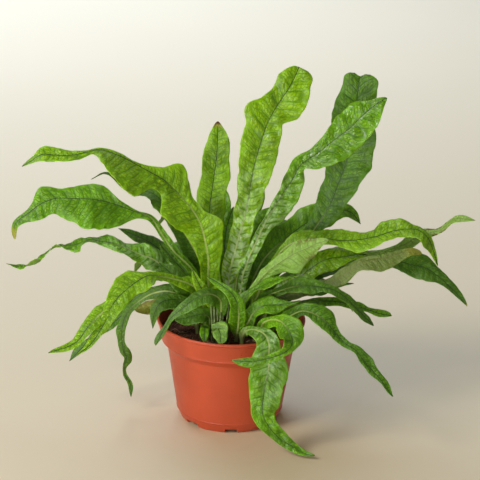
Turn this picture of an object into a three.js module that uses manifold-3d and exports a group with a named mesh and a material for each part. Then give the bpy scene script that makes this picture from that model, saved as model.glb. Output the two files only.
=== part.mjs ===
// Potted crocodile fern (Microsorum musifolium) in its plastic nursery pot.
// Millimetres, +Z up. The pot stands on z = 0 with its axis on the origin and the front looks along -Y.
import * as THREE from "three";
import { mergeVertices } from "three/addons/utils/BufferGeometryUtils.js";
import Module from "manifold-3d";

// Pot: a 6.5 inch nursery pot of moulded plastic, turned from one profile.
const RIM_RADIUS = 82.5;
const POT_HEIGHT = 116;
const LIP_WIDTH = 3.2;
const WALL = 1.6;
const COLLAR_RADIUS = 76.7;
const COLLAR_Z = 91.6;
const STEP_RADIUS = 70.6;
const STEP_Z = 84.6;
const BAND_RADIUS = 59.5;
const BAND_Z = 12;
const FOOT_RADIUS = 54;
const FLOOR_Z = 6.2;
const BEAD = 0.4;
const POT_SIDES = 36;
// Foot notches: [angle from the front in degrees, width in degrees], going round to the right.
const FOOT_NOTCHES = [[-47, 19], [3, 14], [73, 19], [123, 14], [193, 19], [243, 14]];
const NOTCH_HEIGHT = 4.4;
const DRAIN_HOLES = 6;
const DRAIN_RING = 38;
const DRAIN_RADIUS = 5;

// Soil: a plug that fills the pot to 12 mm under the rim, its surface falling from the crown to the wall.
const SOIL_TOP = 104;
const SOIL_FALL = 2.4;
const SOIL_GAP = 0.4;
const SOIL_RINGS = 6;
const SOIL_SIDES = 28;
const SOCKET_GAP = 0.4;
const SOCKET_DEPTH = 30;

// Fronds: every blade stands on a straight stem in a socket of the soil. Shares are of the blade's length.
const WIDE_BLADE = 14;
const STEM_FOOT_Z = SOIL_TOP - 10;
const STEM_TOP_Z = SOIL_TOP + 4;
const STEM_HALF_WIDTH = 2.3;
const STEM_THICK = 2.2;
const EDGE_THICK = 0.9;
const MIDRIB_THICK = 1.3;
const TIP_ROUND = 0.08;
const TIP_LEAST = 0.3;
const STIFF_SHARE = 0.12;
const EDGE_TAPER = 0.2;
const RIB_TAPER = 0.35;
const FULL_WAVE_WIDTH = 12;
const RIGHT_WAVE_LAG = 0.37;
const LOBE_SHARE = 0.08;
const LOBES_PER_WAVE = 1.35;
const RIGHT_LOBE_LAG = 0.45;
const SPINE_STEPS = 160;

const COLOURS = {
  green: 0x5f972c,
  dark: 0x3f7424,
  pale: 0x86ad55,
  olive: 0x93a43c,
  pot: 0xc2583a,
  soil: 0x2e2119,
};

// Each frond: foot on the soil [x, y]; the points its midrib passes; how its top face looks from stem
// to tip; the half widths left and right of the midrib (top face seen, tip up) at even steps from stem
// to tip; wave = [height, waves along the blade, phase] of the rippled margins; fold lifts both margins
// like a shallow V.
const FRONDS = [
  {
    name: "frond_left_upper", colour: "green", rows: 24, foot: [-17, -8],
    through: [[-26, -14, 158], [-26, -18, 187], [-30, -21, 213], [-37, -25, 237], [-50, -29, 257],
      [-64, -31, 273], [-75, -34, 284], [-88, -36, 292], [-103, -38, 301], [-115, -40, 308],
      [-131, -42, 315], [-143, -43, 318], [-156, -44, 315], [-172, -46, 312], [-189, -46, 312],
      [-201, -47, 313], [-212, -47, 306], [-223, -47, 299]],
    face: [[0.2, -1, 0], [0.2, -1, 0.1], [0.1, -1, 0.3], [0, -1, 0.4], [0, -0.8, 0.6],
      [0, -0.7, 0.7], [0, -0.5, 0.85], [0, -0.75, 0.6], [0, -0.75, 0.6]],
    left: [2, 3, 5, 9, 8, 9, 13, 16, 19, 26, 31, 28, 14, 16, 36, 34, 33, 20, 5, 8, 8, 8, 4, 2],
    right: [2, 3, 5, 9, 10, 14, 16, 19, 25, 10, 8, 18, 27, 10, 5, 3, 4, 3, 2, 5, 7, 9, 4, 3],
    wave: [2.5, 5, 0.1], fold: 0.12,
  },
  {
    name: "frond_left_broad", colour: "green", rows: 22, foot: [-27, 6],
    through: [[-41, 8, 163], [-65, 11, 188], [-79, 13, 208], [-91, 14, 226], [-106, 14, 231],
      [-118, 13, 236], [-135, 12, 242], [-152, 10, 246], [-173, 9, 247], [-194, 8, 247],
      [-209, 5, 242], [-224, 1, 231], [-237, -2, 221], [-239, -3, 212], [-238, -4, 203]],
    face: [[0, -1, 0], [0.3, -0.9, 0.4], [0, -0.85, 0.5], [0, -0.85, 0.5], [0, -0.85, 0.5],
      [-0.3, -0.8, 0.4]],
    left: [2, 3, 3, 4, 6, 5, 3, 3, 3, 5, 6, 18, 28, 36, 34, 25, 21, 17, 15, 8, 5, 4],
    right: [2, 3, 3, 4, 4, 4, 5, 6, 5, 3, 2, 4, 8, 15, 17, 15, 11, 15, 6, 4, 4, 4],
    wave: [2.5, 4, 0.6], fold: 0.05,
  },
  {
    name: "frond_left_ruffled", colour: "dark", rows: 24, foot: [-32, -1],
    through: [[-38, -5, 144], [-59, -8, 167], [-74, -9, 176], [-88, -10, 186], [-102, -10, 191],
      [-116, -8, 197], [-132, -5, 201], [-145, 0, 201], [-157, 3, 202], [-168, 8, 195],
      [-182, 13, 191], [-193, 18, 189], [-205, 23, 181], [-216, 29, 168], [-227, 34, 160],
      [-241, 40, 155], [-255, 45, 157]],
    face: [[0, -1, 0.2], [0, -0.8, 0.6], [0, -0.5, 0.9], [0, 0, 1], [0, 0.1, 1]],
    left: [2, 3, 4, 6, 9, 7, 9, 13, 9, 12, 8, 6, 6, 13, 10, 9, 8, 10, 8, 6, 4, 2],
    right: [2, 3, 4, 6, 8, 5, 10, 14, 14, 10, 9, 8, 9, 12, 8, 6, 6, 5, 5, 5, 4, 2],
    wave: [5, 7, 0.2], fold: 0,
  },
  {
    name: "frond_left_forked", colour: "green", rows: 18, foot: [-28, -15],
    through: [[-38, -28, 158], [-58, -40, 173], [-77, -50, 180], [-89, -58, 184], [-100, -65, 180],
      [-110, -72, 174], [-120, -79, 166], [-127, -87, 157], [-131, -95, 147], [-138, -104, 136],
      [-147, -113, 125], [-161, -122, 117]],
    face: [[0, -1, 0.2], [0, -0.8, 0.6], [0, -0.7, 0.7], [-0.3, -0.7, 0.6]],
    left: [2, 3, 4, 5, 7, 8, 7, 5, 4, 13, 16, 11, 11, 14, 9, 5, 3, 3, 2],
    right: [2, 3, 4, 5, 7, 9, 4, 4, 5, 6, 15, 16, 13, 9, 10, 5, 5, 3, 1],
    wave: [3, 4, 0.3], fold: 0.1,
    branch: {
      rows: 12,
      through: [[-112, -72, 170], [-133, -88, 155], [-148, -100, 143], [-162, -112, 127],
        [-190, -122, 119]],
      face: [[0, -0.7, 0.7], [-0.3, -0.7, 0.6]],
      left: [3, 7, 9, 8, 6, 4, 1],
      right: [3, 7, 9, 8, 6, 4, 1],
      wave: [2, 2, 0], fold: 0.1,
    },
  },
  {
    name: "frond_left_sprout", colour: "olive", rows: 8, foot: [-18, -24],
    through: [[-19, -31, 130], [-26, -39, 152], [-35, -43, 170], [-43, -45, 188]],
    face: [[0, -1, 0], [0, -1, 0.1], [0, -1, 0.2]],
    left: [2, 2, 3, 4, 7, 5, 1],
    right: [2, 2, 3, 4, 7, 4, 1],
    wave: [1, 2, 0.1], fold: 0.1,
  },
  {
    name: "frond_left_hanging", colour: "dark", rows: 24, foot: [-38, -8],
    through: [[-49, -12, 137], [-68, -15, 150], [-87, -12, 146], [-104, -10, 134], [-115, -8, 121],
      [-120, -8, 107], [-121, -8, 91], [-120, -8, 79], [-116, -7, 68], [-118, -7, 58],
      [-118, -6, 47], [-112, -4, 35], [-111, -2, 17]],
    face: [[0, -1, 0.3], [0, -0.8, 0.6], [-0.4, -0.8, 0.3], [0.2, -1, 0], [-0.2, -1, 0]],
    left: [2, 4, 6, 7, 7, 6, 6, 4, 5, 4, 5, 4, 3, 6, 7, 2, 2, 3, 1],
    right: [2, 4, 6, 7, 7, 6, 5, 4, 4, 7, 4, 6, 5, 5, 2, 2, 3, 3, 2],
    wave: [2, 4, 0.5], fold: 0.1,
  },
  {
    name: "frond_left_yellow", colour: "olive", rows: 10, foot: [-43, 1],
    through: [[-57, -3, 128], [-74, 0, 131], [-90, 1, 124], [-108, 2, 121]],
    face: [[0, -1, 0.4], [0, -0.8, 0.7]],
    left: [2, 4, 7, 8, 8, 2],
    right: [2, 4, 7, 8, 8, 2],
    wave: [1.5, 2, 0.5], fold: 0.1,
  },
  {
    name: "frond_left_curl", colour: "dark", rows: 12, foot: [-37, -20],
    through: [[-47, -28, 140], [-65, -34, 148], [-78, -37, 144], [-84, -39, 130], [-85, -40, 116]],
    face: [[0, -1, 0.4], [0, -0.8, 0.7], [-0.6, -0.8, 0]],
    left: [2, 6, 11, 13, 10, 6, 1],
    right: [2, 4, 6, 7, 7, 5, 1],
    wave: [1.5, 3, 0.5], fold: 0.1,
  },
  {
    name: "frond_front_left", colour: "dark", rows: 18, foot: [-13, -36],
    through: [[-11, -44, 139], [-13, -52, 157], [-25, -59, 165], [-40, -64, 160], [-52, -68, 151],
      [-64, -71, 141], [-72, -74, 127], [-80, -76, 111]],
    face: [[0, -1, 0], [0, -0.9, 0.6], [0, -0.8, 0.7], [-0.3, -0.8, 0.6]],
    left: [2, 2, 3, 6, 11, 13, 10, 8, 5, 3, 3, 1],
    right: [2, 2, 4, 7, 9, 6, 6, 6, 4, 2, 4, 5],
    wave: [1.5, 3, 0.2], fold: 0.15,
  },
  {
    name: "frond_soil_broad", colour: "dark", rows: 10, foot: [-24, -33],
    through: [[-24, -40, 130], [-31, -45, 136], [-44, -49, 134], [-61, -52, 131]],
    face: [[0, -1, 0.3], [0, -0.8, 0.8], [0, -0.8, 0.8]],
    left: [2, 4, 8, 10, 9, 2],
    right: [2, 4, 8, 9, 8, 2],
    wave: [1.5, 2, 0.2], fold: 0.1,
  },
  {
    name: "frond_soil_strip", colour: "green", rows: 8, foot: [-26, -42],
    through: [[-28, -50, 124], [-28, -60, 118], [-28, -67, 112]],
    face: [[0, -1, 0.2], [0, -0.8, 0.8]],
    left: [2, 4, 5, 5, 1],
    right: [2, 4, 5, 5, 1],
    wave: [1, 1, 0.2], fold: 0.1,
  },
  {
    name: "frond_soil_pale", colour: "pale", rows: 8, foot: [-14, -47],
    through: [[-14, -53, 124], [-11, -62, 119], [-10, -71, 112]],
    face: [[0, -1, 0.2], [0, -0.8, 0.8]],
    left: [2, 5, 10, 8, 3],
    right: [2, 5, 8, 7, 3],
    wave: [1, 2, 0.2], fold: 0.1,
  },
  {
    name: "frond_front_arch", colour: "green", rows: 14, foot: [6, -43],
    through: [[8, -49, 127], [8, -53, 142], [6, -56, 155], [-1, -57, 167], [-12, -53, 174],
      [-27, -48, 181]],
    face: [[0, -1, 0.1], [0.2, -1, 0.2], [0.2, -0.9, 0.4]],
    left: [2, 7, 11, 11, 8, 7, 6, 4, 1],
    right: [2, 7, 8, 7, 8, 5, 3, 2, 1],
    wave: [1, 2, 0.2], fold: 0.15,
  },
  {
    name: "frond_upright_left", colour: "green", rows: 16, foot: [-12, 12],
    through: [[-20, 16, 159], [-23, 19, 188], [-26, 22, 216], [-26, 25, 238], [-24, 27, 255],
      [-22, 30, 271], [-20, 32, 288], [-19, 35, 310], [-19, 38, 330]],
    face: [[0, -1, 0], [-0.1, -1, 0.1], [0.1, -1, 0.2]],
    left: [2, 3, 5, 7, 8, 9, 11, 13, 15, 15, 15, 14, 11, 5],
    right: [2, 3, 5, 7, 9, 11, 15, 16, 17, 17, 16, 15, 11, 5],
    wave: [2, 4, 0.2], fold: 0.08,
  },
  {
    name: "frond_upright_centre", colour: "green", rows: 24, foot: [-1, 0],
    through: [[-3, -2, 166], [1, -3, 186], [7, -5, 214], [12, -6, 235], [16, -6, 255], [18, -5, 271],
      [21, -4, 290], [25, -3, 308], [29, -1, 322], [34, 2, 337], [39, 4, 348], [48, 7, 363],
      [56, 9, 375], [61, 12, 384], [67, 15, 398]],
    face: [[0, -1, 0], [-0.1, -1, 0.1], [0.1, -1, 0.2], [0, -1, 0.3]],
    left: [2, 3, 4, 6, 9, 11, 9, 11, 12, 12, 15, 14, 20, 20, 22, 30, 18, 16, 16, 16],
    right: [2, 3, 4, 6, 10, 12, 15, 13, 11, 16, 15, 21, 20, 22, 19, 15, 28, 24, 24, 30],
    wave: [2.5, 6, 0.4], fold: 0.1,
  },
  {
    name: "frond_right_tall", colour: "green", rows: 24, foot: [10, -9],
    through: [[11, -12, 164], [19, -15, 194], [28, -17, 217], [40, -18, 244], [53, -18, 267],
      [64, -18, 285], [71, -17, 299], [81, -16, 306], [93, -15, 315], [107, -14, 327],
      [122, -13, 339], [135, -12, 353], [148, -12, 365], [160, -12, 373]],
    face: [[0, -1, 0], [0.2, -1, 0.1], [0.3, -1, 0.1], [-0.3, -0.9, 0.4], [-0.3, -0.9, 0.4]],
    left: [2, 3, 3, 4, 6, 4, 5, 5, 4, 5, 5, 11, 10, 8, 11, 14, 18, 21, 8, 5],
    right: [2, 3, 4, 5, 7, 7, 7, 9, 16, 17, 19, 14, 6, 17, 21, 24, 24, 20, 17, 5],
    wave: [2.5, 5, 0.3], fold: 0.08,
  },
  {
    name: "frond_right_tall_back", colour: "green", rows: 22, foot: [19, 7],
    through: [[43, 13, 163], [66, 17, 184], [83, 20, 204], [96, 23, 223], [107, 26, 242],
      [114, 29, 262], [120, 32, 279], [126, 34, 302], [131, 36, 326], [132, 39, 357], [134, 42, 383]],
    face: [[-0.2, -1, 0.1], [-0.3, -1, 0.3], [-0.1, -1, 0.2]],
    left: [2, 3, 4, 5, 8, 6, 8, 10, 10, 15, 15, 18, 19, 19, 23, 24, 29, 23, 20, 34],
    right: [2, 3, 4, 5, 8, 7, 8, 8, 9, 11, 17, 19, 23, 29, 25, 28, 19, 24, 22, 32],
    wave: [2.5, 6, 0.1], fold: 0.08,
  },
  {
    name: "frond_right_behind", colour: "dark", rows: 14, foot: [11, 21],
    through: [[33, 34, 169], [57, 50, 190], [84, 62, 208], [111, 70, 219], [132, 76, 217],
      [145, 80, 201]],
    face: [[0, -1, 0.1], [0, -0.8, 0.6], [0, -0.8, 0.6]],
    left: [2, 5, 11, 16, 17, 17, 15, 9, 1],
    right: [2, 5, 11, 15, 17, 17, 15, 9, 1],
    wave: [3, 4, 0.3], fold: 0.1,
  },
  {
    name: "frond_centre_behind", colour: "dark", rows: 14, foot: [2, 15],
    through: [[8, 22, 170], [21, 32, 199], [35, 40, 221], [51, 46, 232]],
    face: [[0, -1, 0.1], [0, -0.8, 0.5]],
    left: [2, 4, 8, 12, 14, 12, 8, 1],
    right: [2, 4, 8, 12, 14, 12, 8, 1],
    wave: [2.5, 3, 0.3], fold: 0.1,
  },
  {
    name: "frond_back_blue", colour: "dark", rows: 14, foot: [-5, 26],
    through: [[-8, 34, 165], [-9, 46, 190], [-6, 56, 208], [0, 62, 225]],
    face: [[0, -1, 0.1], [0, -0.8, 0.4]],
    left: [2, 4, 8, 12, 13, 12, 8, 1],
    right: [2, 4, 8, 12, 13, 12, 8, 1],
    wave: [2.5, 3, 0.1], fold: 0.1,
  },
  {
    name: "frond_right_pale", colour: "pale", rows: 14, foot: [10, -20],
    through: [[17, -24, 148], [28, -28, 167], [41, -31, 184], [54, -33, 195], [66, -35, 204],
      [79, -37, 211], [91, -39, 218], [103, -41, 223]],
    face: [[0, -1, 0.1], [0, -1, 0.2], [0, -1, 0.2]],
    left: [2, 3, 4, 6, 4, 4, 7, 6, 7, 10, 11, 6, 3],
    right: [2, 3, 4, 6, 4, 4, 6, 11, 20, 17, 14, 6, 2],
    wave: [2.5, 4, 0.1], fold: -0.1,
  },
  {
    name: "frond_right_bright", colour: "green", rows: 22, foot: [20, -2],
    through: [[32, 0, 152], [44, -2, 179], [57, -4, 200], [77, -5, 210], [99, -6, 212],
      [121, -6, 210], [139, -6, 212], [158, -5, 216], [175, -4, 222], [193, -5, 225], [203, -7, 224],
      [212, -10, 217], [218, -12, 204], [224, -13, 186]],
    face: [[0, -1, 0.1], [0, -0.7, 0.7], [0, -0.6, 0.8], [0.3, -0.7, 0.7]],
    left: [2, 3, 4, 5, 5, 4, 5, 9, 12, 13, 12, 11, 9, 15, 13, 5, 5, 3, 2],
    right: [2, 3, 4, 5, 8, 11, 11, 9, 10, 8, 9, 14, 15, 11, 8, 11, 12, 5, 2],
    wave: [3, 5, 0.4], fold: 0.05,
  },
  {
    name: "frond_right_far", colour: "pale", rows: 22, foot: [31, 11],
    through: [[41, 16, 144], [85, 22, 169], [133, 22, 181], [169, 18, 191], [189, 16, 199],
      [202, 13, 209], [214, 10, 215], [228, 7, 221], [236, 2, 231], [242, -4, 237], [250, -9, 239],
      [262, -13, 239]],
    face: [[0, -1, 0.1], [0, -0.6, 0.8], [0, -0.7, 0.7], [0, -0.75, 0.65], [0, -0.75, 0.65]],
    left: [2, 3, 4, 4, 4, 5, 5, 5, 9, 5, 3, 4, 7, 8, 3, 3, 5, 2],
    right: [2, 3, 4, 9, 12, 14, 11, 9, 7, 8, 6, 7, 9, 5, 4, 3, 4, 1],
    wave: [2, 5, 0.4], fold: 0.05,
  },
  {
    name: "frond_right_olive", colour: "olive", rows: 18, foot: [27, -12],
    through: [[43, -16, 142], [79, -20, 156], [111, -26, 171], [125, -28, 181], [138, -29, 192],
      [152, -29, 196], [167, -28, 199], [181, -26, 204], [193, -25, 207], [205, -24, 203]],
    face: [[0, -1, 0.1], [0, -0.6, 0.8], [0, -0.7, 0.7], [0, -0.75, 0.65], [0, -0.75, 0.65]],
    left: [2, 3, 4, 6, 4, 5, 5, 5, 8, 6, 7, 4, 5, 4, 5],
    right: [2, 3, 4, 6, 8, 6, 6, 6, 9, 7, 10, 14, 10, 6, 4],
    wave: [2, 4, 0.1], fold: 0.05,
  },
  {
    name: "frond_right_droop", colour: "dark", rows: 18, foot: [34, 17],
    through: [[38, 19, 128], [65, 26, 149], [119, 36, 168], [159, 36, 176], [187, 32, 174], [202, 29, 171],
      [215, 25, 170], [229, 20, 162], [242, 12, 153], [252, 5, 144], [261, -1, 135]],
    face: [[0, -1, 0.1], [0, -0.6, 0.8], [0, -0.7, 0.7], [0, -0.75, 0.65], [0, -0.75, 0.65]],
    left: [2, 3, 4, 5, 4, 6, 8, 8, 9, 11, 13, 17, 9, 7, 6, 3],
    right: [2, 3, 4, 9, 12, 12, 11, 11, 10, 8, 12, 14, 13, 6, 3, 1],
    wave: [2, 4, 0.3], fold: 0.05,
  },
  {
    name: "frond_right_gloss", colour: "green", rows: 14, foot: [36, 2],
    through: [[49, 2, 141], [70, 3, 159], [88, 5, 174], [102, 7, 183], [119, 8, 186], [135, 8, 189],
      [147, 6, 191]],
    face: [[0, -1, 0.1], [0, -0.6, 0.8], [0, -0.7, 0.7]],
    left: [2, 4, 6, 9, 9, 9, 11, 14, 8, 2],
    right: [2, 4, 6, 8, 5, 14, 15, 13, 7, 2],
    wave: [2, 3, 0.2], fold: 0.08,
  },
  {
    name: "frond_right_dark", colour: "dark", rows: 20, foot: [22, -25],
    through: [[33, -32, 148], [53, -37, 162], [74, -42, 170], [93, -44, 170], [109, -46, 168],
      [122, -46, 160], [135, -45, 147], [146, -44, 135], [155, -43, 126]],
    face: [[0, -1, 0.1], [0, -0.6, 0.8], [0, -0.6, 0.8], [0.4, -0.6, 0.5]],
    left: [2, 4, 5, 6, 5, 7, 11, 10, 6, 5, 5, 5, 5, 3],
    right: [2, 4, 5, 6, 5, 5, 9, 9, 6, 7, 5, 5, 5, 2],
    wave: [1.5, 4, 0.1], fold: 0.05,
  },
  {
    name: "frond_right_dark_tip", colour: "dark", rows: 14, foot: [22, 24],
    through: [[38, 28, 124], [58, 24, 133], [80, 8, 143], [105, 0, 154], [134, -6, 161]],
    face: [[0, -1, 0.1], [0, -0.3, 1], [0, -0.3, 1]],
    left: [2, 4, 8, 12, 13, 11, 7, 1],
    right: [2, 4, 8, 12, 13, 11, 7, 1],
    wave: [3, 3, 0.1], fold: 0.05,
  },
  {
    name: "frond_right_yellow", colour: "olive", rows: 18, foot: [35, -18],
    through: [[47, -22, 129], [72, -20, 140], [96, -19, 144], [117, -17, 143], [132, -16, 139],
      [148, -14, 134], [162, -13, 129], [177, -12, 126]],
    face: [[0, -1, 0.1], [0, -0.6, 0.8], [0, -0.7, 0.7], [0, -0.7, 0.7]],
    left: [2, 4, 5, 6, 4, 4, 5, 5, 5, 6, 3, 6, 5],
    right: [2, 4, 5, 9, 10, 10, 7, 5, 5, 4, 3, 4, 2],
    wave: [1.5, 4, 0.1], fold: 0.05,
  },
  {
    name: "frond_right_hanging", colour: "green", rows: 24, foot: [29, -34],
    through: [[47, -57, 129], [63, -71, 146], [76, -78, 155], [89, -81, 153], [100, -84, 147],
      [108, -87, 138], [115, -90, 131], [122, -94, 125], [132, -99, 121], [141, -104, 111],
      [151, -109, 101], [161, -113, 91], [167, -115, 82], [173, -118, 76]],
    face: [[0, -1, 0.1], [0, -0.6, 0.8], [0.3, -0.8, 0.6], [0.3, -0.9, 0.4], [0.3, -0.9, 0.4]],
    left: [2, 4, 5, 5, 7, 10, 8, 10, 12, 12, 7, 4, 4, 7, 8, 6, 5, 5, 2],
    right: [2, 4, 5, 5, 7, 11, 10, 5, 8, 11, 7, 6, 4, 3, 5, 5, 3, 2, 2],
    wave: [1.5, 5, 0.1], fold: 0.1,
  },
  {
    name: "frond_front_small", colour: "green", rows: 12, foot: [11, -34],
    through: [[19, -42, 127], [25, -45, 140], [35, -47, 148], [49, -49, 150], [62, -51, 153],
      [75, -52, 157]],
    face: [[0, -1, 0.1], [0, -0.7, 0.8], [0, -0.7, 0.8]],
    left: [2, 5, 7, 8, 11, 11, 6, 2, 1],
    right: [2, 5, 7, 6, 8, 12, 8, 3, 1],
    wave: [1.5, 3, 0.1], fold: 0.1,
  },
  {
    name: "frond_right_ruffled", colour: "green", rows: 12, foot: [-3, -28],
    through: [[12, -34, 149], [28, -40, 165], [46, -46, 176], [70, -54, 186]],
    face: [[0, -1, 0.1], [0, -0.3, 1], [0, -0.1, 1]],
    left: [2, 4, 7, 9, 10, 6, 1],
    right: [2, 4, 7, 9, 10, 6, 1],
    wave: [2.5, 3, 0.1], fold: 0.1,
  },
  {
    name: "frond_front_hanging", colour: "green", rows: 22, foot: [12, -50],
    through: [[14, -55, 119], [25, -72, 130], [36, -84, 130], [41, -90, 123], [41, -95, 111],
      [41, -98, 95], [38, -101, 79], [36, -103, 62], [36, -105, 47], [44, -107, 32], [56, -108, 19],
      [71, -111, 11], [82, -115, 6], [93, -119, 6]],
    face: [[0, -1, 0.1], [0, -0.6, 0.8], [0, -1, 0.2], [0, -1, 0.2], [0, -1, 0.4], [0, -0.8, 0.8]],
    left: [2, 4, 5, 6, 7, 9, 13, 19, 20, 20, 21, 18, 15, 12, 10, 9, 7, 5, 4, 2],
    right: [2, 4, 7, 9, 12, 14, 14, 17, 21, 20, 15, 14, 13, 10, 7, 6, 6, 5, 3, 2],
    wave: [2.5, 4, 0.1], fold: 0.08,
  },
  {
    name: "frond_front_folded", colour: "green", rows: 18, foot: [33, -48],
    through: [[34, -58, 131], [44, -72, 142], [54, -88, 146], [62, -103, 141], [65, -113, 134],
      [61, -120, 128], [51, -123, 123], [39, -124, 119], [26, -124, 116], [13, -123, 115],
      [1, -121, 115]],
    face: [[0, -1, 0.1], [0, -0.8, 0.6], [0, -0.95, 0.3], [0.2, -1, 0.1], [0.1, -1, 0.1],
      [0, -1, 0.2]],
    left: [2, 4, 5, 5, 4, 5, 10, 17, 13, 6, 4, 5, 5, 7, 6, 1],
    right: [2, 5, 8, 9, 10, 8, 11, 11, 12, 13, 5, 4, 3, 5, 3, 1],
    wave: [1.5, 3, 0.1], fold: 0.1,
  },
  {
    name: "frond_back_left_dark", colour: "dark", rows: 14, foot: [-28, 17],
    through: [[-47, 30, 145], [-72, 42, 170], [-95, 52, 184], [-113, 58, 190], [-130, 62, 196]],
    face: [[0, -1, 0.1], [0, -0.6, 0.8], [0, -0.6, 0.8]],
    left: [2, 4, 7, 9, 10, 9, 6, 1],
    right: [2, 4, 7, 9, 10, 9, 6, 1],
    wave: [2, 3, 0.1], fold: 0.1,
  },
  {
    name: "frond_back_left_high", colour: "dark", rows: 20, foot: [-17, 22],
    through: [[-36, 34, 168], [-56, 46, 199], [-73, 54, 220], [-86, 60, 235], [-98, 62, 240],
      [-109, 63, 238], [-122, 64, 243], [-143, 68, 259], [-161, 72, 250]],
    face: [[0, -1, 0.1], [0, -0.9, 0.5], [0, -0.4, 0.9], [0, -0.2, 0.9]],
    left: [2, 4, 8, 12, 13, 12, 9, 13, 10, 3, 2, 1],
    right: [2, 4, 7, 10, 12, 12, 9, 10, 8, 3, 2, 1],
    wave: [2, 3, 0.1], fold: 0.1,
  },
  {
    name: "frond_left_dark", colour: "dark", rows: 12, foot: [-20, 15],
    through: [[-38, 19, 143], [-54, 24, 160], [-68, 28, 174], [-82, 32, 190]],
    face: [[0, -1, 0.1], [0, -0.8, 0.6]],
    left: [2, 4, 8, 12, 13, 9, 1],
    right: [2, 4, 8, 12, 13, 9, 1],
    wave: [2, 3, 0.1], fold: 0.1,
  },
  {
    name: "frond_back_centre", colour: "green", rows: 14, foot: [-3, 38],
    through: [[-4, 58, 146], [-4, 80, 174], [-6, 100, 176], [-10, 117, 158], [-12, 127, 134]],
    face: [[0, -1, 0.1], [0, -0.4, 1], [0, 0.3, 1], [0, 0.9, 0.5]],
    left: [2, 4, 8, 13, 16, 17, 15, 9, 1],
    right: [2, 4, 8, 13, 16, 17, 15, 9, 1],
    wave: [3, 4, 0.1], fold: 0.1,
  },
  {
    name: "frond_back_left", colour: "green", rows: 14, foot: [-17, 34],
    through: [[-32, 54, 140], [-58, 80, 160], [-84, 102, 158], [-105, 118, 140], [-116, 129, 118]],
    face: [[0, -1, 0.1], [0, 0, 1], [-0.3, 0.3, 1], [-0.5, 0.6, 0.6]],
    left: [2, 4, 8, 12, 15, 15, 13, 8, 1],
    right: [2, 4, 8, 12, 15, 15, 13, 8, 1],
    wave: [3, 4, 0.4], fold: 0.1,
  },
  {
    name: "frond_back_right", colour: "green", rows: 14, foot: [17, 33],
    through: [[38, 56, 140], [70, 82, 160], [98, 104, 158], [121, 119, 138], [134, 127, 116]],
    face: [[0, -1, 0.1], [0, 0, 1], [0.3, 0.3, 1], [0.5, 0.6, 0.6]],
    left: [2, 4, 8, 13, 16, 16, 14, 8, 1],
    right: [2, 4, 8, 13, 16, 16, 14, 8, 1],
    wave: [3, 4, 0.7], fold: 0.1,
  },
  {
    name: "frond_back_left_low", colour: "dark", rows: 12, foot: [-31, 27],
    through: [[-46, 46, 126], [-70, 66, 134], [-94, 84, 126], [-110, 96, 104], [-116, 102, 84]],
    face: [[0, -1, 0.1], [0, 0, 1], [-0.3, 0.3, 1], [-0.8, 0.4, 0.4]],
    left: [2, 4, 8, 11, 12, 10, 6, 1],
    right: [2, 4, 8, 11, 12, 10, 6, 1],
    wave: [2, 3, 0.2], fold: 0.1,
  },
  {
    name: "frond_back_right_low", colour: "dark", rows: 12, foot: [32, 29],
    through: [[52, 48, 128], [84, 70, 136], [114, 88, 124], [134, 100, 102], [142, 106, 84]],
    face: [[0, -1, 0.1], [0, 0, 1], [0.3, 0.3, 1], [0.8, 0.4, 0.4]],
    left: [2, 4, 8, 11, 12, 10, 6, 1],
    right: [2, 4, 8, 11, 12, 10, 6, 1],
    wave: [2, 3, 0.2], fold: 0.1,
  },
  {
    name: "frond_back_low", colour: "dark", rows: 12, foot: [8, 46],
    through: [[12, 62, 126], [20, 88, 128], [26, 108, 108], [28, 118, 84]],
    face: [[0, -1, 0.1], [0, 0, 1], [0, 0.7, 0.7], [0, 1, 0]],
    left: [2, 4, 8, 11, 12, 10, 6, 1],
    right: [2, 4, 8, 11, 12, 10, 6, 1],
    wave: [2, 3, 0.2], fold: 0.1,
  },
  {
    name: "frond_mid_left_low", colour: "dark", rows: 14, foot: [-35, 12],
    through: [[-52, 14, 135], [-69, 16, 143], [-82, 16, 141], [-96, 16, 135], [-109, 14, 126],
      [-122, 10, 111], [-137, 4, 99], [-152, -4, 89], [-165, -10, 79], [-179, -16, 65]],
    face: [[0, -1, 0.3], [0, -0.8, 0.7], [0, -0.7, 0.8], [-0.2, -0.8, 0.6]],
    left: [2, 3, 5, 8, 5, 5, 5, 3, 6, 3, 6, 4, 1],
    right: [2, 3, 5, 4, 4, 7, 11, 13, 12, 9, 4, 7, 1],
    wave: [2, 4, 0.6], fold: 0.1,
  },
  {
    name: "frond_mid_back_left", colour: "green", rows: 14, foot: [-14, 27],
    through: [[-27, 44, 158], [-42, 66, 192], [-58, 88, 206], [-76, 108, 198], [-88, 122, 180]],
    face: [[0, -1, 0.1], [0, -0.7, 0.7], [-0.2, 0, 1], [-0.4, 0.6, 0.7]],
    left: [2, 4, 8, 13, 16, 17, 15, 9, 1],
    right: [2, 4, 8, 13, 16, 17, 15, 9, 1],
    wave: [3, 4, 0.2], fold: 0.1,
  },
  {
    name: "frond_mid_back_right", colour: "green", rows: 14, foot: [12, 25],
    through: [[28, 40, 157], [49, 65, 188], [69, 90, 196], [89, 110, 184], [99, 122, 164]],
    face: [[0, -1, 0.1], [0, -0.7, 0.7], [0.2, 0, 1], [0.4, 0.6, 0.7]],
    left: [2, 4, 8, 13, 16, 17, 15, 9, 1],
    right: [2, 4, 8, 13, 16, 17, 15, 9, 1],
    wave: [3, 4, 0.8], fold: 0.1,
  },
  {
    name: "frond_back_tall", colour: "green", rows: 16, foot: [5, 33],
    through: [[10, 46, 160], [17, 62, 210], [24, 78, 255], [29, 94, 288], [32, 108, 304]],
    face: [[0, -1, 0.1], [0, -1, 0.3], [0, -1, 0.4], [0, -0.6, 0.8]],
    left: [2, 4, 7, 10, 12, 13, 13, 12, 5],
    right: [2, 4, 7, 10, 12, 13, 13, 12, 5],
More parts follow.
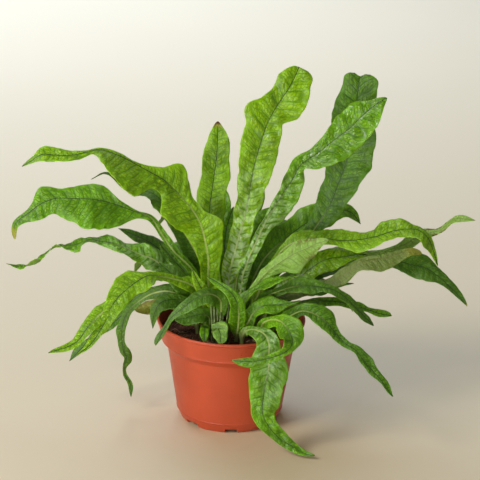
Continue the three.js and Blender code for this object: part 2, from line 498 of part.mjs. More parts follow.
    wave: [2.5, 4, 0.5], fold: 0.1,
  },
  {
    name: "frond_left_inner", colour: "dark", rows: 12, foot: [-31, -10],
    through: [[-39, -17, 140], [-52, -21, 160], [-67, -21, 174], [-80, -17, 184]],
    face: [[0, -1, 0.1], [0, -0.8, 0.6]],
    left: [2, 4, 6, 10, 11, 9, 1],
    right: [2, 4, 6, 10, 11, 9, 1],
    wave: [2, 3, 0.4], fold: 0.1,
  },
  {
    name: "frond_back_upright", colour: "green", rows: 14, foot: [-5, 32],
    through: [[-8, 49, 160], [-12, 66, 200], [-18, 82, 232], [-25, 96, 250]],
    face: [[0, -1, 0.1], [0, -0.9, 0.3], [0, -0.7, 0.7]],
    left: [2, 3, 5, 7, 9, 12, 12, 10, 3],
    right: [2, 3, 5, 7, 9, 12, 12, 10, 3],
    wave: [2.5, 3, 0.5], fold: 0.1,
  },
];

const smooth = (a, b, x) => {
  const t = Math.min(1, Math.max(0, (x - a) / (b - a)));
  return t * t * (3 - 2 * t);
};

// The value of an evenly spaced list at u in 0..1, eased between neighbours.
const listAt = (list, u) => {
  const x = u * (list.length - 1);
  const i = Math.min(list.length - 2, Math.floor(x));
  const t = x - i;
  return list[i] + (list[i + 1] - list[i]) * t * t * (3 - 2 * t);
};

// Points of the midrib from the stem's top to the tip, close enough together to measure along.
function spineOf(start, through) {
  const points = [...start, ...through].map((p) => new THREE.Vector3(...p));
  const curve = new THREE.CatmullRomCurve3(points);
  const from = 1 / (points.length - 1);
  const line = [];
  for (let i = 0; i <= SPINE_STEPS; i++) {
    line.push(curve.getPoint(from + ((1 - from) * i) / SPINE_STEPS));
  }
  const length = [0];
  for (let i = 1; i < line.length; i++) {
    length.push(length[i - 1] + line[i].distanceTo(line[i - 1]));
  }
  return { line, length };
}

const UPRIGHT = new THREE.Vector3(0, 0, 1);

// The blade's right and up at u, where its midrib runs along.
function sidesAt(along, face, u) {
  const up = new THREE.Vector3(
    listAt(face.map((f) => f[0]), u),
    listAt(face.map((f) => f[1]), u),
    listAt(face.map((f) => f[2]), u),
  );
  up.addScaledVector(along, -up.dot(along)).normalize();
  return { right: along.clone().cross(up), up };
}

// Where the midrib is at u, and which way it runs there.
function midribAt(spine, u) {
  const { line, length } = spine;
  const want = u * length[length.length - 1];
  let i = 1;
  while (i < length.length - 1 && length[i] < want) i++;
  const t = (want - length[i - 1]) / (length[i] - length[i - 1]);
  const at = line[i - 1].clone().lerp(line[i], t);
  const before = line[Math.max(0, i - 3)];
  const after = line[Math.min(line.length - 1, i + 2)];
  return { at, along: after.clone().sub(before).normalize() };
}

// Half width, lift and thickness of the blade at u along it and s across it: -1 is the left margin,
// 1 the right.
function sectionAt(spec, u, s) {
  const end = Math.max(0, (u - 1 + TIP_ROUND) / TIP_ROUND);
  const round = Math.max(TIP_LEAST, Math.sqrt(1 - end * end));
  const [height, waves, phase] = spec.wave;
  const turn = waves * u + phase + (s < 0 ? 0 : RIGHT_WAVE_LAG);
  const lobeTurn = LOBES_PER_WAVE * waves * u - phase + (s < 0 ? 0 : RIGHT_LOBE_LAG);
  const lobe = 1 + LOBE_SHARE * Math.sin(2 * Math.PI * lobeTurn);
  const half = round * lobe * listAt(s < 0 ? spec.left : spec.right, u);
  const free = spec.foot ? smooth(0, STIFF_SHARE, u) : 1;
  const wave = height * Math.min(1, half / FULL_WAVE_WIDTH) * s * s * Math.sin(2 * Math.PI * turn);
  const lift = free * (spec.fold * half * Math.abs(s) + wave);
  const edge = EDGE_THICK + (STEM_THICK - EDGE_THICK) * (1 - smooth(0, EDGE_TAPER, u));
  const rib = MIDRIB_THICK + (STEM_THICK - MIDRIB_THICK) * (1 - smooth(0, RIB_TAPER, u));
  return { half, lift, thick: edge + (rib - edge) * (1 - Math.abs(s)) };
}

// A closed strip: rows of points on the top face, the same on the underside, walls at the margins and ends.
function stripSolid(wasm, rows) {
  const across = rows[0].length;
  const points = [];
  for (const row of rows) for (const p of row) points.push(p.top.x, p.top.y, p.top.z);
  for (const row of rows) for (const p of row) points.push(p.under.x, p.under.y, p.under.z);
  const under = rows.length * across;
  const at = (i, j) => i * across + j;
  const faces = [];
  const quad = (a, b, c, d) => faces.push(a, b, c, a, c, d);
  for (let i = 0; i < rows.length - 1; i++) {
    for (let j = 0; j < across - 1; j++) {
      quad(at(i, j), at(i, j + 1), at(i + 1, j + 1), at(i + 1, j));
      faces.push(under + at(i, j), under + at(i + 1, j + 1), under + at(i, j + 1));
      faces.push(under + at(i, j), under + at(i + 1, j), under + at(i + 1, j + 1));
    }
    const k = across - 1;
    quad(at(i, k), under + at(i, k), under + at(i + 1, k), at(i + 1, k));
    quad(under + at(i, 0), at(i, 0), at(i + 1, 0), under + at(i + 1, 0));
  }
  const last = rows.length - 1;
  for (let j = 0; j < across - 1; j++) {
    quad(at(0, j + 1), at(0, j), under + at(0, j), under + at(0, j + 1));
    quad(at(last, j), at(last, j + 1), under + at(last, j + 1), under + at(last, j));
  }
  return new wasm.Manifold(
    new wasm.Mesh({
      numProp: 3,
      vertProperties: new Float32Array(points),
      triVerts: new Uint32Array(faces),
    }),
  );
}

// Rows of a blade from its foot to its tip, with one more just before the tip to round it.
function bladeRows(spec, spine, across) {
  const rows = [];
  const steps = [];
  for (let i = 0; i < spec.rows; i++) steps.push(i / spec.rows);
  steps.push(1 - 0.3 / spec.rows, 1);
  for (const u of steps) {
    const { at, along } = midribAt(spine, u);
    const { right, up } = sidesAt(spec.foot && u === 0 ? UPRIGHT : along, spec.face, u);
    const row = [];
    for (let j = 0; j < across; j++) {
      const s = (2 * j) / (across - 1) - 1;
      const { half, lift, thick } = sectionAt(spec, u, s);
      const middle = at.clone().addScaledVector(right, s * half).addScaledVector(up, lift);
      row.push({
        top: middle.clone().addScaledVector(up, thick / 2),
        under: middle.clone().addScaledVector(up, -thick / 2),
      });
    }
    rows.push(row);
  }
  return rows;
}

// A frond: its blade, the straight stem under it and, on a forked one, the second arm.
function frondSolid(wasm, spec) {
  const across = Math.max(...spec.left) >= WIDE_BLADE ? 5 : 3;
  const [x, y] = spec.foot;
  const foot = [[x, y, STEM_FOOT_Z], [x, y, STEM_TOP_Z]];
  const rows = bladeRows(spec, spineOf(foot, spec.through), across);
  const down = rows[0].map((p) => ({
    top: new THREE.Vector3(p.top.x, p.top.y, STEM_FOOT_Z),
    under: new THREE.Vector3(p.under.x, p.under.y, STEM_FOOT_Z),
  }));
  let solid = stripSolid(wasm, [down, ...rows]);
  if (spec.branch) {
    const [first, ...rest] = spec.branch.through;
    const arm = bladeRows(spec.branch, spineOf([first, first], rest), 3);
    solid = solid.add(stripSolid(wasm, arm));
  }
  return solid;
}

// Any closed geometry as a solid that can be cut and joined.
function solidOf(wasm, geometry) {
  const bare = new THREE.BufferGeometry();
  bare.setAttribute("position", geometry.getAttribute("position"));
  bare.setIndex(geometry.index);
  const merged = mergeVertices(bare, 1e-3);
  return new wasm.Manifold(
    new wasm.Mesh({
      numProp: 3,
      vertProperties: merged.attributes.position.array,
      triVerts: new Uint32Array(merged.index.array),
    }),
  );
}

// A solid of revolution. The profile runs from the axis under it, outside and up, then back to the axis.
function turned(wasm, profile, sides, lift) {
  const points = [0, 0, profile[0][1]];
  const inner = profile.slice(1, -1);
  for (const [r, z] of inner) {
    for (let i = 0; i < sides; i++) {
      const a = (2 * Math.PI * i) / sides;
      const [x, y] = [r * Math.cos(a), r * Math.sin(a)];
      points.push(x, y, z + lift(x, y, z));
    }
  }
  const z = profile[profile.length - 1][1];
  points.push(0, 0, z + lift(0, 0, z));
  const top = 1 + inner.length * sides;
  const at = (k, i) => 1 + k * sides + (i % sides);
  const faces = [];
  for (let i = 0; i < sides; i++) {
    faces.push(0, at(0, i + 1), at(0, i));
    for (let k = 0; k < inner.length - 1; k++) {
      faces.push(at(k, i), at(k, i + 1), at(k + 1, i + 1));
      faces.push(at(k, i), at(k + 1, i + 1), at(k + 1, i));
    }
    faces.push(at(inner.length - 1, i), at(inner.length - 1, i + 1), top);
  }
  return new wasm.Manifold(
    new wasm.Mesh({
      numProp: 3,
      vertProperties: new Float32Array(points),
      triVerts: new Uint32Array(faces),
    }),
  );
}

// Inner wall of the pot from the floor up to the soil's edge: [radius, height].
const INNER_WALL = [
  [FOOT_RADIUS - 1, FLOOR_Z],
  [BAND_RADIUS - WALL, BAND_Z],
  [STEP_RADIUS - WALL, STEP_Z + 0.6],
  [COLLAR_RADIUS - WALL, COLLAR_Z + 0.6],
];

function potSolid(wasm) {
  const lipInner = RIM_RADIUS - LIP_WIDTH;
  const profile = [
    [0, FLOOR_Z - WALL],
    [FOOT_RADIUS - 4, FLOOR_Z - WALL],
    [FOOT_RADIUS - 3, 0],
    [FOOT_RADIUS - 0.4, 0],
    [FOOT_RADIUS + 1.2, 1.4],
    [FOOT_RADIUS + 3.6, 7],
    [BAND_RADIUS - BEAD / 2, BAND_Z - 1],
    [BAND_RADIUS + BEAD, BAND_Z - 0.6],
    [BAND_RADIUS + BEAD / 2, BAND_Z + 0.4],
    [STEP_RADIUS, STEP_Z],
    [COLLAR_RADIUS, COLLAR_Z],
    [RIM_RADIUS - 1.3, POT_HEIGHT - 3.4],
    [RIM_RADIUS, POT_HEIGHT - 2.6],
    [RIM_RADIUS, POT_HEIGHT - 0.8],
    [RIM_RADIUS - 0.8, POT_HEIGHT],
    [RIM_RADIUS - 2, POT_HEIGHT],
    [lipInner, POT_HEIGHT - 1.4],
    ...INNER_WALL.slice().reverse(),
    [0, FLOOR_Z],
  ];
  let pot = turned(wasm, profile, POT_SIDES, () => 0);
  for (const [angle, width] of FOOT_NOTCHES) {
    const a = ((angle - 90) * Math.PI) / 180;
    const wide = 2 * FOOT_RADIUS * Math.sin((width * Math.PI) / 360);
    const notch = new THREE.BoxGeometry(16, wide, 2 * NOTCH_HEIGHT);
    notch.translate(FOOT_RADIUS, 0, 0);
    notch.rotateZ(a);
    pot = pot.subtract(solidOf(wasm, notch));
  }
  for (let i = 0; i < DRAIN_HOLES; i++) {
    const hole = new THREE.CylinderGeometry(DRAIN_RADIUS, DRAIN_RADIUS, 20, 8);
    hole.rotateX(Math.PI / 2);
    hole.translate(DRAIN_RING, 0, 0);
    hole.rotateZ(((i + 0.5) * 2 * Math.PI) / DRAIN_HOLES);
    pot = pot.subtract(solidOf(wasm, hole));
  }
  return pot;
}

// Crumbs and hollows of the soil's surface, a little higher round the crown than at the wall.
const crumbs = (x, y) =>
  SOIL_FALL * (0.5 - Math.hypot(x, y) / RIM_RADIUS) +
  0.8 * Math.sin(x / 6.1 + 1) * Math.cos(y / 5.3) + 0.5 * Math.sin(x / 2.9 - y / 3.7);

function soilSolid(wasm) {
  const flat = Math.cos(Math.PI / POT_SIDES);
  const wall = INNER_WALL.map(([r, z]) => [r * flat - SOIL_GAP, z]);
  wall[0][1] += SOIL_GAP;
  const edge = collarRadiusAt(SOIL_TOP - 2) * flat - SOIL_GAP;
  const profile = [[0, wall[0][1]], ...wall];
  for (let k = 0; k < SOIL_RINGS; k++) profile.push([edge * (1 - k / SOIL_RINGS), SOIL_TOP]);
  profile.push([0, SOIL_TOP]);
  let soil = turned(wasm, profile, SOIL_SIDES, (x, y, z) => (z === SOIL_TOP ? crumbs(x, y) : 0));
  for (const spec of FRONDS) {
    const { right, up } = sidesAt(UPRIGHT, spec.face, 0);
    const wide = 2 * (STEM_HALF_WIDTH + SOCKET_GAP);
    const socket = new THREE.BoxGeometry(wide, STEM_THICK + 2 * SOCKET_GAP, SOCKET_DEPTH);
    socket.applyMatrix4(new THREE.Matrix4().makeBasis(right, up.negate(), UPRIGHT));
    socket.translate(...spec.foot, STEM_FOOT_Z - SOCKET_GAP + SOCKET_DEPTH / 2);
    soil = soil.subtract(solidOf(wasm, socket));
  }
  return soil;
}

// Inner radius of the collar at a height between the step and the lip.
function collarRadiusAt(z) {
  const [low, high] = [INNER_WALL[3], [RIM_RADIUS - LIP_WIDTH, POT_HEIGHT - 1.4]];
  return low[0] + ((high[0] - low[0]) * (z - low[1])) / (high[1] - low[1]);
}

const wasm = await Module();
wasm.setup();

function meshOf(name, solid, colour, roughness) {
  const made = solid.getMesh();
  const geometry = new THREE.BufferGeometry();
  const position = new Float32Array(made.numVert * 3);
  for (let i = 0; i < made.numVert; i++) {
    position.set(made.vertProperties.subarray(i * made.numProp, i * made.numProp + 3), i * 3);
  }
  geometry.setAttribute("position", new THREE.BufferAttribute(position, 3));
  geometry.setIndex(new THREE.BufferAttribute(made.triVerts, 1));
  geometry.computeVertexNormals();
  const material = new THREE.MeshStandardMaterial({ color: colour, roughness, metalness: 0 });
  const mesh = new THREE.Mesh(geometry, material);
  mesh.name = name;
  return mesh;
}

const group = new THREE.Group();
group.name = "potted_crocodile_fern";
group.add(meshOf("pot", potSolid(wasm), COLOURS.pot, 0.45));
group.add(meshOf("soil", soilSolid(wasm), COLOURS.soil, 0.95));
for (const spec of FRONDS) {
  group.add(meshOf(spec.name, frondSolid(wasm, spec), COLOURS[spec.colour], 0.4));
}

export default group;
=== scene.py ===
"""Potted crocodile fern: every frond, the soil and the nursery pot, as tools in the 3D view's sidebar.

Lengths in the tables are millimetres. +Z is up, the pot's axis is the origin and the front looks along -Y.
"""

import math
from types import SimpleNamespace

import bmesh
import bpy
import numpy as np
from bpy.props import FloatProperty, FloatVectorProperty, IntProperty, PointerProperty
from mathutils import Matrix, Vector, noise


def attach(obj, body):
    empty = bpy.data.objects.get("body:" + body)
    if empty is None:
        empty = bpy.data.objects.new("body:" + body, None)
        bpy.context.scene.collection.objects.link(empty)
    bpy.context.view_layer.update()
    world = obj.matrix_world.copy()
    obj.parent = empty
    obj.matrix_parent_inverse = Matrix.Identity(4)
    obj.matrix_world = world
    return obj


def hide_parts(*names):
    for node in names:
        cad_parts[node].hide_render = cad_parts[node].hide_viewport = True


bl_info = {
    "name": "Potted crocodile fern",
    "version": (1, 0, 0),
    "blender": (4, 5, 0),
    "location": "View3D > Sidebar > Fern",
    "description": "Fronds with netted veins over a nursery pot of peat",
    "category": "Object",
}

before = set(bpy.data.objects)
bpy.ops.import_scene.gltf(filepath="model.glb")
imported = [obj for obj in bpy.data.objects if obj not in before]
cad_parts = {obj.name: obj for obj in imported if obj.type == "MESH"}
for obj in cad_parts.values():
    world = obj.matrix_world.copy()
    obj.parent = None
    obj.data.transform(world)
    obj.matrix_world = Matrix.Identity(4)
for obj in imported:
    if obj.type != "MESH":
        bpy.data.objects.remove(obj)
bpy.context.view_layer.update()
MM = 0.001
TAU = 2 * math.pi
# The pot's rim, in millimetres; other places on the pot and its peat are in its tables.
RIM_RADIUS = 82.5


def linear(code):
    """A colour written as sRGB hex, such as "#5F8F2A", as linear red, green and blue."""
    out = []
    for at in (1, 3, 5):
        c = int(code[at:at + 2], 16) / 255
        out.append(c / 12.92 if c <= 0.04045 else ((c + 0.055) / 1.055) ** 2.4)
    return tuple(out)


def length(name, text, millimetres):
    """A length that the sidebar shows in the scene's unit."""
    return FloatProperty(name=name, description=text, default=millimetres * MM, unit="LENGTH", precision=4)


def power(name, text, watts):
    """Power of a light."""
    return FloatProperty(name=name, description=text, default=watts, min=0, unit="POWER")


def colour(name, text, code):
    """A colour given as sRGB hex."""
    return FloatVectorProperty(
        name=name, description=text, subtype="COLOR", default=linear(code), min=0, max=1
    )


class FernPotSettings(bpy.types.PropertyGroup):
    """The nursery pot and its peat."""

    rim_radius: length("Rim radius", "Outer radius of the rolled rim", RIM_RADIUS)
    height: length("Height", "Height of the pot to the top of its rim", 116)
    wall: length("Wall", "Thickness of the moulded wall", 1.6)
    bead: length("Bead", "Height of the moulded beads", 0.4)
    sides: IntProperty(name="Sides", description="Faces round the pot", default=144, min=24, max=360)
    plastic: colour("Plastic", "Terracotta orange of the polypropylene", "#BE4C2B")
    soil_top: length("Soil height", "Height of the peat's surface", 104)
    crumb: length("Crumb", "Middle size of the peat's crumbs", 1.7)
    crumbs: IntProperty(name="Crumbs", description="How many loose crumbs lie on the peat", default=1600, min=0)
    fibres: IntProperty(name="Fibres", description="How many fibres and rootlets show", default=170, min=0)
    peat: colour("Peat", "Damp peat", "#5C3727")
    bark: colour("Bark", "Drier bits of bark and wood in the peat", "#7C5640")
    fibre: colour("Fibre", "Rootlets and wood fibres", "#B59A7C")


class FernFrondSettings(bpy.types.PropertyGroup):
    """The fronds: how fine they are, and what raises their surface."""

    grid: length("Grid", "Spacing of the blade's mesh", 1.5)
    vein_spacing: length("Vein spacing", "Between two side veins of a broad frond", 10.4)
    mesh: length("Mesh", "Size of one mesh of the net between the side veins", 4.2)
    quilt: length("Quilt", "How far the blade swells between two side veins", 0.6)
    cell: length("Cell", "How far the blade swells and sinks between its cross veins", 0.14)
    ruffle: length("Ruffle", "Height of the small waves along the margin", 0.9)
    buckle: length("Buckle", "How far the blade bulges between its midrib and margin", 1.1)
    green: colour("Green", "A full-grown frond", "#70A50A")
    bright: colour("Bright green", "A young frond", "#88B70A")
    # Deep green is the full-grown green darkened for painted shade on fronds shaded by the others; dark green is
    # partly an older frond's own colour and partly painted shade.
    deep: colour("Deep green", "A full-grown frond in the shade of the others", "#5B8B08")
    dark: colour("Dark green", "An old or shaded frond", "#598516")
    pale: colour("Pale green", "A frond that shows its underside", "#8EBA48")
    olive: colour("Olive", "An ageing frond", "#6E832C")
    stem: colour("Stalk green", "Bare stalks of the crown", "#7F9250")
    stalk: length("Stalk", "Radius of the bare stalks of the crown", 1.3)


class FernStudioSettings(bpy.types.PropertyGroup):
    """Camera, lights and floor."""

    distance: length("Camera distance", "From the camera to the point it looks at", 1900)
    elevation: FloatProperty(
        name="Camera elevation", description="How far down the camera looks", default=math.radians(19), subtype="ANGLE"
    )
    roll: FloatProperty(
        name="Camera roll", description="Lean of the camera", default=math.radians(1.25), subtype="ANGLE"
    )
    target: FloatVectorProperty(
        name="Target", description="The point the camera looks at", default=(0.0079, 0, 0.2065), subtype="TRANSLATION"
    )
    lens: FloatProperty(name="Lens", description="Focal length", default=130.2, min=10, unit="CAMERA")
    key: power("Key light", "Soft light from the upper left", 48)
    fill: power("Fill light", "Soft light from the right", 0.6)
    front: power("Front light", "Wide light from the front", 7)
    bounce: power("Reflector", "Reflector lying on the floor before the pot", 10)
    far: power("Background light", "Light on the floor behind the fern", 250)
    back: power("Back light", "Soft light from above and behind", 11)
    sky: FloatProperty(name="Room light", description="Strength of the light from all round", default=0.16)
    floor: colour("Floor", "The plain pale floor", "#DBC9A3")


# A soft step. Its inputs are the value, where the step starts, where it ends, and what it gives at either.
SOFT = {"interpolation_type": "SMOOTHSTEP"}


def add(tree, kind, inputs=None, **settings):
    """Adds one shader node, sets its properties, and sets or feeds its inputs.

    An input is fed by a socket, or by a node, which stands for its first result.
    """
    node = tree.nodes.new("ShaderNode" + kind)
    for key, value in settings.items():
        setattr(node, key, value)
    for key, value in (inputs or {}).items():
        if isinstance(value, bpy.types.Node):
            value = next(result for result in value.outputs if result.enabled)
        if isinstance(value, bpy.types.NodeSocket):
            tree.links.new(value, node.inputs[key])
        else:
            node.inputs[key].default_value = value
    return node


def new_material(name):
    """A material with an empty tree of nodes, as (material, tree)."""
    material = bpy.data.materials.new(name)
    material.use_nodes = True
    material.node_tree.nodes.clear()
    return material, material.node_tree


def rgba(colour_value, factor=1.0):
    """A linear colour, lighter or darker by a factor, as a shader takes it."""
    return (*(min(1.0, c * factor) for c in colour_value), 1.0)


# How many of each fit into 100 mm of a blade: patches of its tone, places where its veins fade, turns that the
# net wanders, blotches as it dries, patches of its sheen, and grains of its skin. The real grain is finer than
# half a millimetre and is drawn three times as coarse, or it would not show.
TONE_PATCHES = 3
VEIN_FADES = 9
NET_WANDERS = 14
DRY_BLOTCHES = 30
SHEEN_PATCHES = 10
SKIN_GRAINS = 70


def leaf_places(tree):
    """Where a point lies on its blade, out of what the mesh stores for it, each value as a socket.

    across: millimetres right of the midrib; side: above 0 on the upper face, and the further from 0 the more the
    frond shines and the more painted sheen its upper face gets; vein_turn and out_turn: turns of the side veins, and
    meshes of the net outwards; along and margin: shares of the length and of the way from midrib to margin; brown
    and age: how dry it is.
    """
    blade = add(tree, "Attribute", attribute_name="blade").outputs["Vector"]
    net = add(tree, "Attribute", attribute_name="net").outputs["Vector"]
    place = add(tree, "Attribute", attribute_name="place").outputs["Vector"]
    across, _, side = add(tree, "SeparateXYZ", {0: blade}).outputs
    vein_turn, out_turn, brown = add(tree, "SeparateXYZ", {0: net}).outputs
    along, margin, age = add(tree, "SeparateXYZ", {0: place}).outputs
    return SimpleNamespace(
        blade=blade, across=across, side=side, vein_turn=vein_turn, out_turn=out_turn, brown=brown,
        along=along, margin=margin, age=age,
    )


def leaf_veins(tree, at, vein_depth, net_depth):
    """The net of veins at each place of a blade: its lines, and the cells that swell between them."""
    # Side veins: one at each whole turn, half a turn later right of the midrib. They thin out towards the margin.
    right = add(tree, "Math", {0: at.across, 1: 0.0}, operation="GREATER_THAN")
    turn = add(tree, "Math", {0: right, 1: 0.5, 2: at.vein_turn}, operation="MULTIPLY_ADD")
    near_vein = add(tree, "Math", {0: turn, 1: 0.5}, operation="PINGPONG")
    fade = add(tree, "TexNoise", {"Vector": at.blade, "Scale": VEIN_FADES / 100, "Detail": 1.0})
    reach = add(tree, "Math", {
        0: add(tree, "MapRange", {0: at.margin, 1: 0.96, 2: 0.5}, **SOFT),
        1: add(tree, "MapRange", {0: fade, 1: 0.3, 2: 0.48, 3: 0.45, 4: 1.0}, **SOFT),
    }, operation="MULTIPLY")
    vein = add(tree, "Math", {
        0: add(tree, "MapRange", {0: near_vein, 1: 0.085, 2: 0.04}, **SOFT),
        1: reach,
    }, operation="MULTIPLY")
    valley = add(tree, "Math", {
        0: add(tree, "MapRange", {0: near_vein, 1: 0.24, 2: 0.0}, **SOFT),
        1: reach,
    }, operation="MULTIPLY")

    # The net between them: meshes of about 4 mm in rows along the side veins, with finer ones of 2 mm inside.
    # The finest of the real leaf are nearer 1 mm and would not show. The third number keeps the two halves apart.
    inner = add(tree, "MapRange", {0: at.margin, 1: 0.98, 2: 0.7}, **SOFT)
    grown = add(tree, "CombineXYZ", {
        0: at.out_turn,
        1: add(tree, "Math", {0: turn, 1: 2.4}, operation="MULTIPLY"),
        2: add(tree, "Math", {0: right, 1: 9.0}, operation="MULTIPLY"),
    })
    wander = add(tree, "TexNoise", {"Vector": at.blade, "Scale": NET_WANDERS / 100, "Detail": 2.0}).outputs["Color"]
    bent = add(tree, "VectorMath", {0: wander, 1: (0.7, 0.5, 0), 2: grown}, operation="MULTIPLY_ADD")
    coarse = add(tree, "TexVoronoi", {"Vector": bent, "Scale": 1.0, "Randomness": 0.6}, feature="DISTANCE_TO_EDGE")
    cell = add(tree, "TexVoronoi", {"Vector": bent, "Scale": 1.0, "Randomness": 0.6})
    small = add(tree, "TexVoronoi", {"Vector": bent, "Scale": 2.1, "Randomness": 0.8}, feature="DISTANCE_TO_EDGE")
    cross = add(tree, "Math", {
        0: add(tree, "MapRange", {0: coarse, 1: 0.11, 2: 0.05}, **SOFT),
        1: inner,
    }, operation="MULTIPLY")
    fine = add(tree, "Math", {
        0: add(tree, "MapRange", {0: small, 1: 0.14, 2: 0.05}, **SOFT),
        1: inner,
    }, operation="MULTIPLY")

    # Where lines lie over each other, the deepest shows.
    lines = add(tree, "Math", {0: fine, 1: 0.4 * net_depth}, operation="MULTIPLY")
    for line, depth in ((cross, net_depth), (valley, 0.3), (vein, vein_depth)):
        lines = add(tree, "Math", {
            0: lines,
            1: add(tree, "Math", {0: line, 1: depth}, operation="MULTIPLY"),
        }, operation="MAXIMUM")
    swollen = add(tree, "Math", {
        0: add(tree, "MapRange", {0: near_vein, 1: 0.1, 2: 0.4}, **SOFT),
        1: add(tree, "MapRange", {0: coarse, 1: 0.02, 2: 0.3}, **SOFT),
    }, operation="MULTIPLY")
    cell_tone = add(tree, "SeparateXYZ", {0: cell.outputs["Color"]})
    return SimpleNamespace(
        near_vein=near_vein, fade=fade, grown=grown, lines=lines, swollen=swollen, cell_tone=cell_tone
    )


def leaf_midrib(tree, at, veins):
    """The midrib of a blade, as (share of it, its colour, share of the dark band beside it).

    It is pale near the stem and dark towards the tip, where it also grows thin.
    """
    colour_along = add(tree, "Mix", {
        0: add(tree, "MapRange", {0: at.along, 1: 0.3, 2: 0.56}, **SOFT),
        6: rgba(linear("#AABC65")),
        7: rgba(linear("#2F4B14")),
    }, data_type="RGBA")
    width = add(tree, "MapRange", {0: at.along, 1: 0.0, 2: 0.8, 3: 1.05, 4: 0.5}, **SOFT)
    off_rib = add(tree, "Math", {0: at.across}, operation="ABSOLUTE")
    share = add(tree, "Math", {0: off_rib, 1: width}, operation="DIVIDE")
    rib = add(tree, "Math", {
        0: add(tree, "MapRange", {0: share, 1: 1.2, 2: 0.7}, **SOFT),
        1: add(tree, "MapRange", {0: veins.fade, 1: 0.3, 2: 0.5, 3: 0.75, 4: 1.0}, **SOFT),
    }, operation="MULTIPLY")
    beside = add(tree, "Math", {
        0: add(tree, "MapRange", {0: off_rib, 1: 3.4, 2: 0.8}, **SOFT),
        1: add(tree, "MapRange", {0: at.along, 1: 0.3, 2: 0.6}, **SOFT),
    }, operation="MULTIPLY")
    return rib, colour_along, beside


def leaf_upper_face(tree, at, veins, tone):
    """Colour of a blade's upper face with its painted sheen, as (colour, midrib, how far it shines)."""
    # Patches of the tone and lighter cells, then the lines of the net and the midrib.
    streak = add(tree, "TexNoise", {"Vector": veins.grown, "Scale": 0.7, "Detail": 2.0})
    patch = add(tree, "Mix", {
        0: 0.4,
        2: add(tree, "TexNoise", {"Vector": at.blade, "Scale": TONE_PATCHES / 100, "Detail": 3.0}),
        3: streak,
    }, data_type="FLOAT")
    lamina = add(tree, "Mix", {
        0: add(tree, "MapRange", {0: patch, 1: 0.36, 2: 0.64}, **SOFT),
        6: rgba(tone, 0.7),
        7: rgba(tone, 1.22),
    }, data_type="RGBA")
    lamina = add(tree, "Mix", {
        0: add(tree, "Math", {
            0: veins.swollen,
            1: add(tree, "MapRange", {0: veins.cell_tone, 1: 0.1, 2: 0.9, 3: 0.2, 4: 0.52}, **SOFT),
        }, operation="MULTIPLY"),
        6: lamina,
        7: (tone[0] * 1.5, tone[1] * 1.22, tone[2] * 0.8, 1),
    }, data_type="RGBA")
    deep = (tone[0] * 0.2, tone[1] * 0.34, tone[2] * 0.4, 1)
    top = add(tree, "Mix", {0: veins.lines, 6: lamina, 7: deep}, data_type="RGBA")
    rib, rib_colour, beside = leaf_midrib(tree, at, veins)
    top = add(tree, "Mix", {
        0: add(tree, "Math", {0: beside, 1: 0.1}, operation="MULTIPLY"),
        6: top,
        7: deep,
    }, data_type="RGBA")
    top = add(tree, "Mix", {0: rib, 6: top, 7: rib_colour}, data_type="RGBA")

    # Painted sheen: a whitish highlight painted into the colour of a shining blade, in streaks between its side
    # veins and most of it low down.
    shining = add(tree, "MapRange", {0: at.side, 1: 0.6, 2: 0.9}, **SOFT)
    painted_sheen = add(tree, "Math", {0: shining, 1: 0.6}, operation="MULTIPLY")
    for value, none, full in ((at.along, 0.75, 0.2), (streak, 0.38, 0.56), (veins.near_vein, 0.04, 0.2)):
        painted_sheen = add(tree, "Math", {
            0: painted_sheen,
            1: add(tree, "MapRange", {0: value, 1: none, 2: full}, **SOFT),
        }, operation="MULTIPLY")
    top = add(tree, "Mix", {0: painted_sheen, 6: top, 7: rgba(linear("#B5CB9E"))}, data_type="RGBA")
    return top, rib, shining


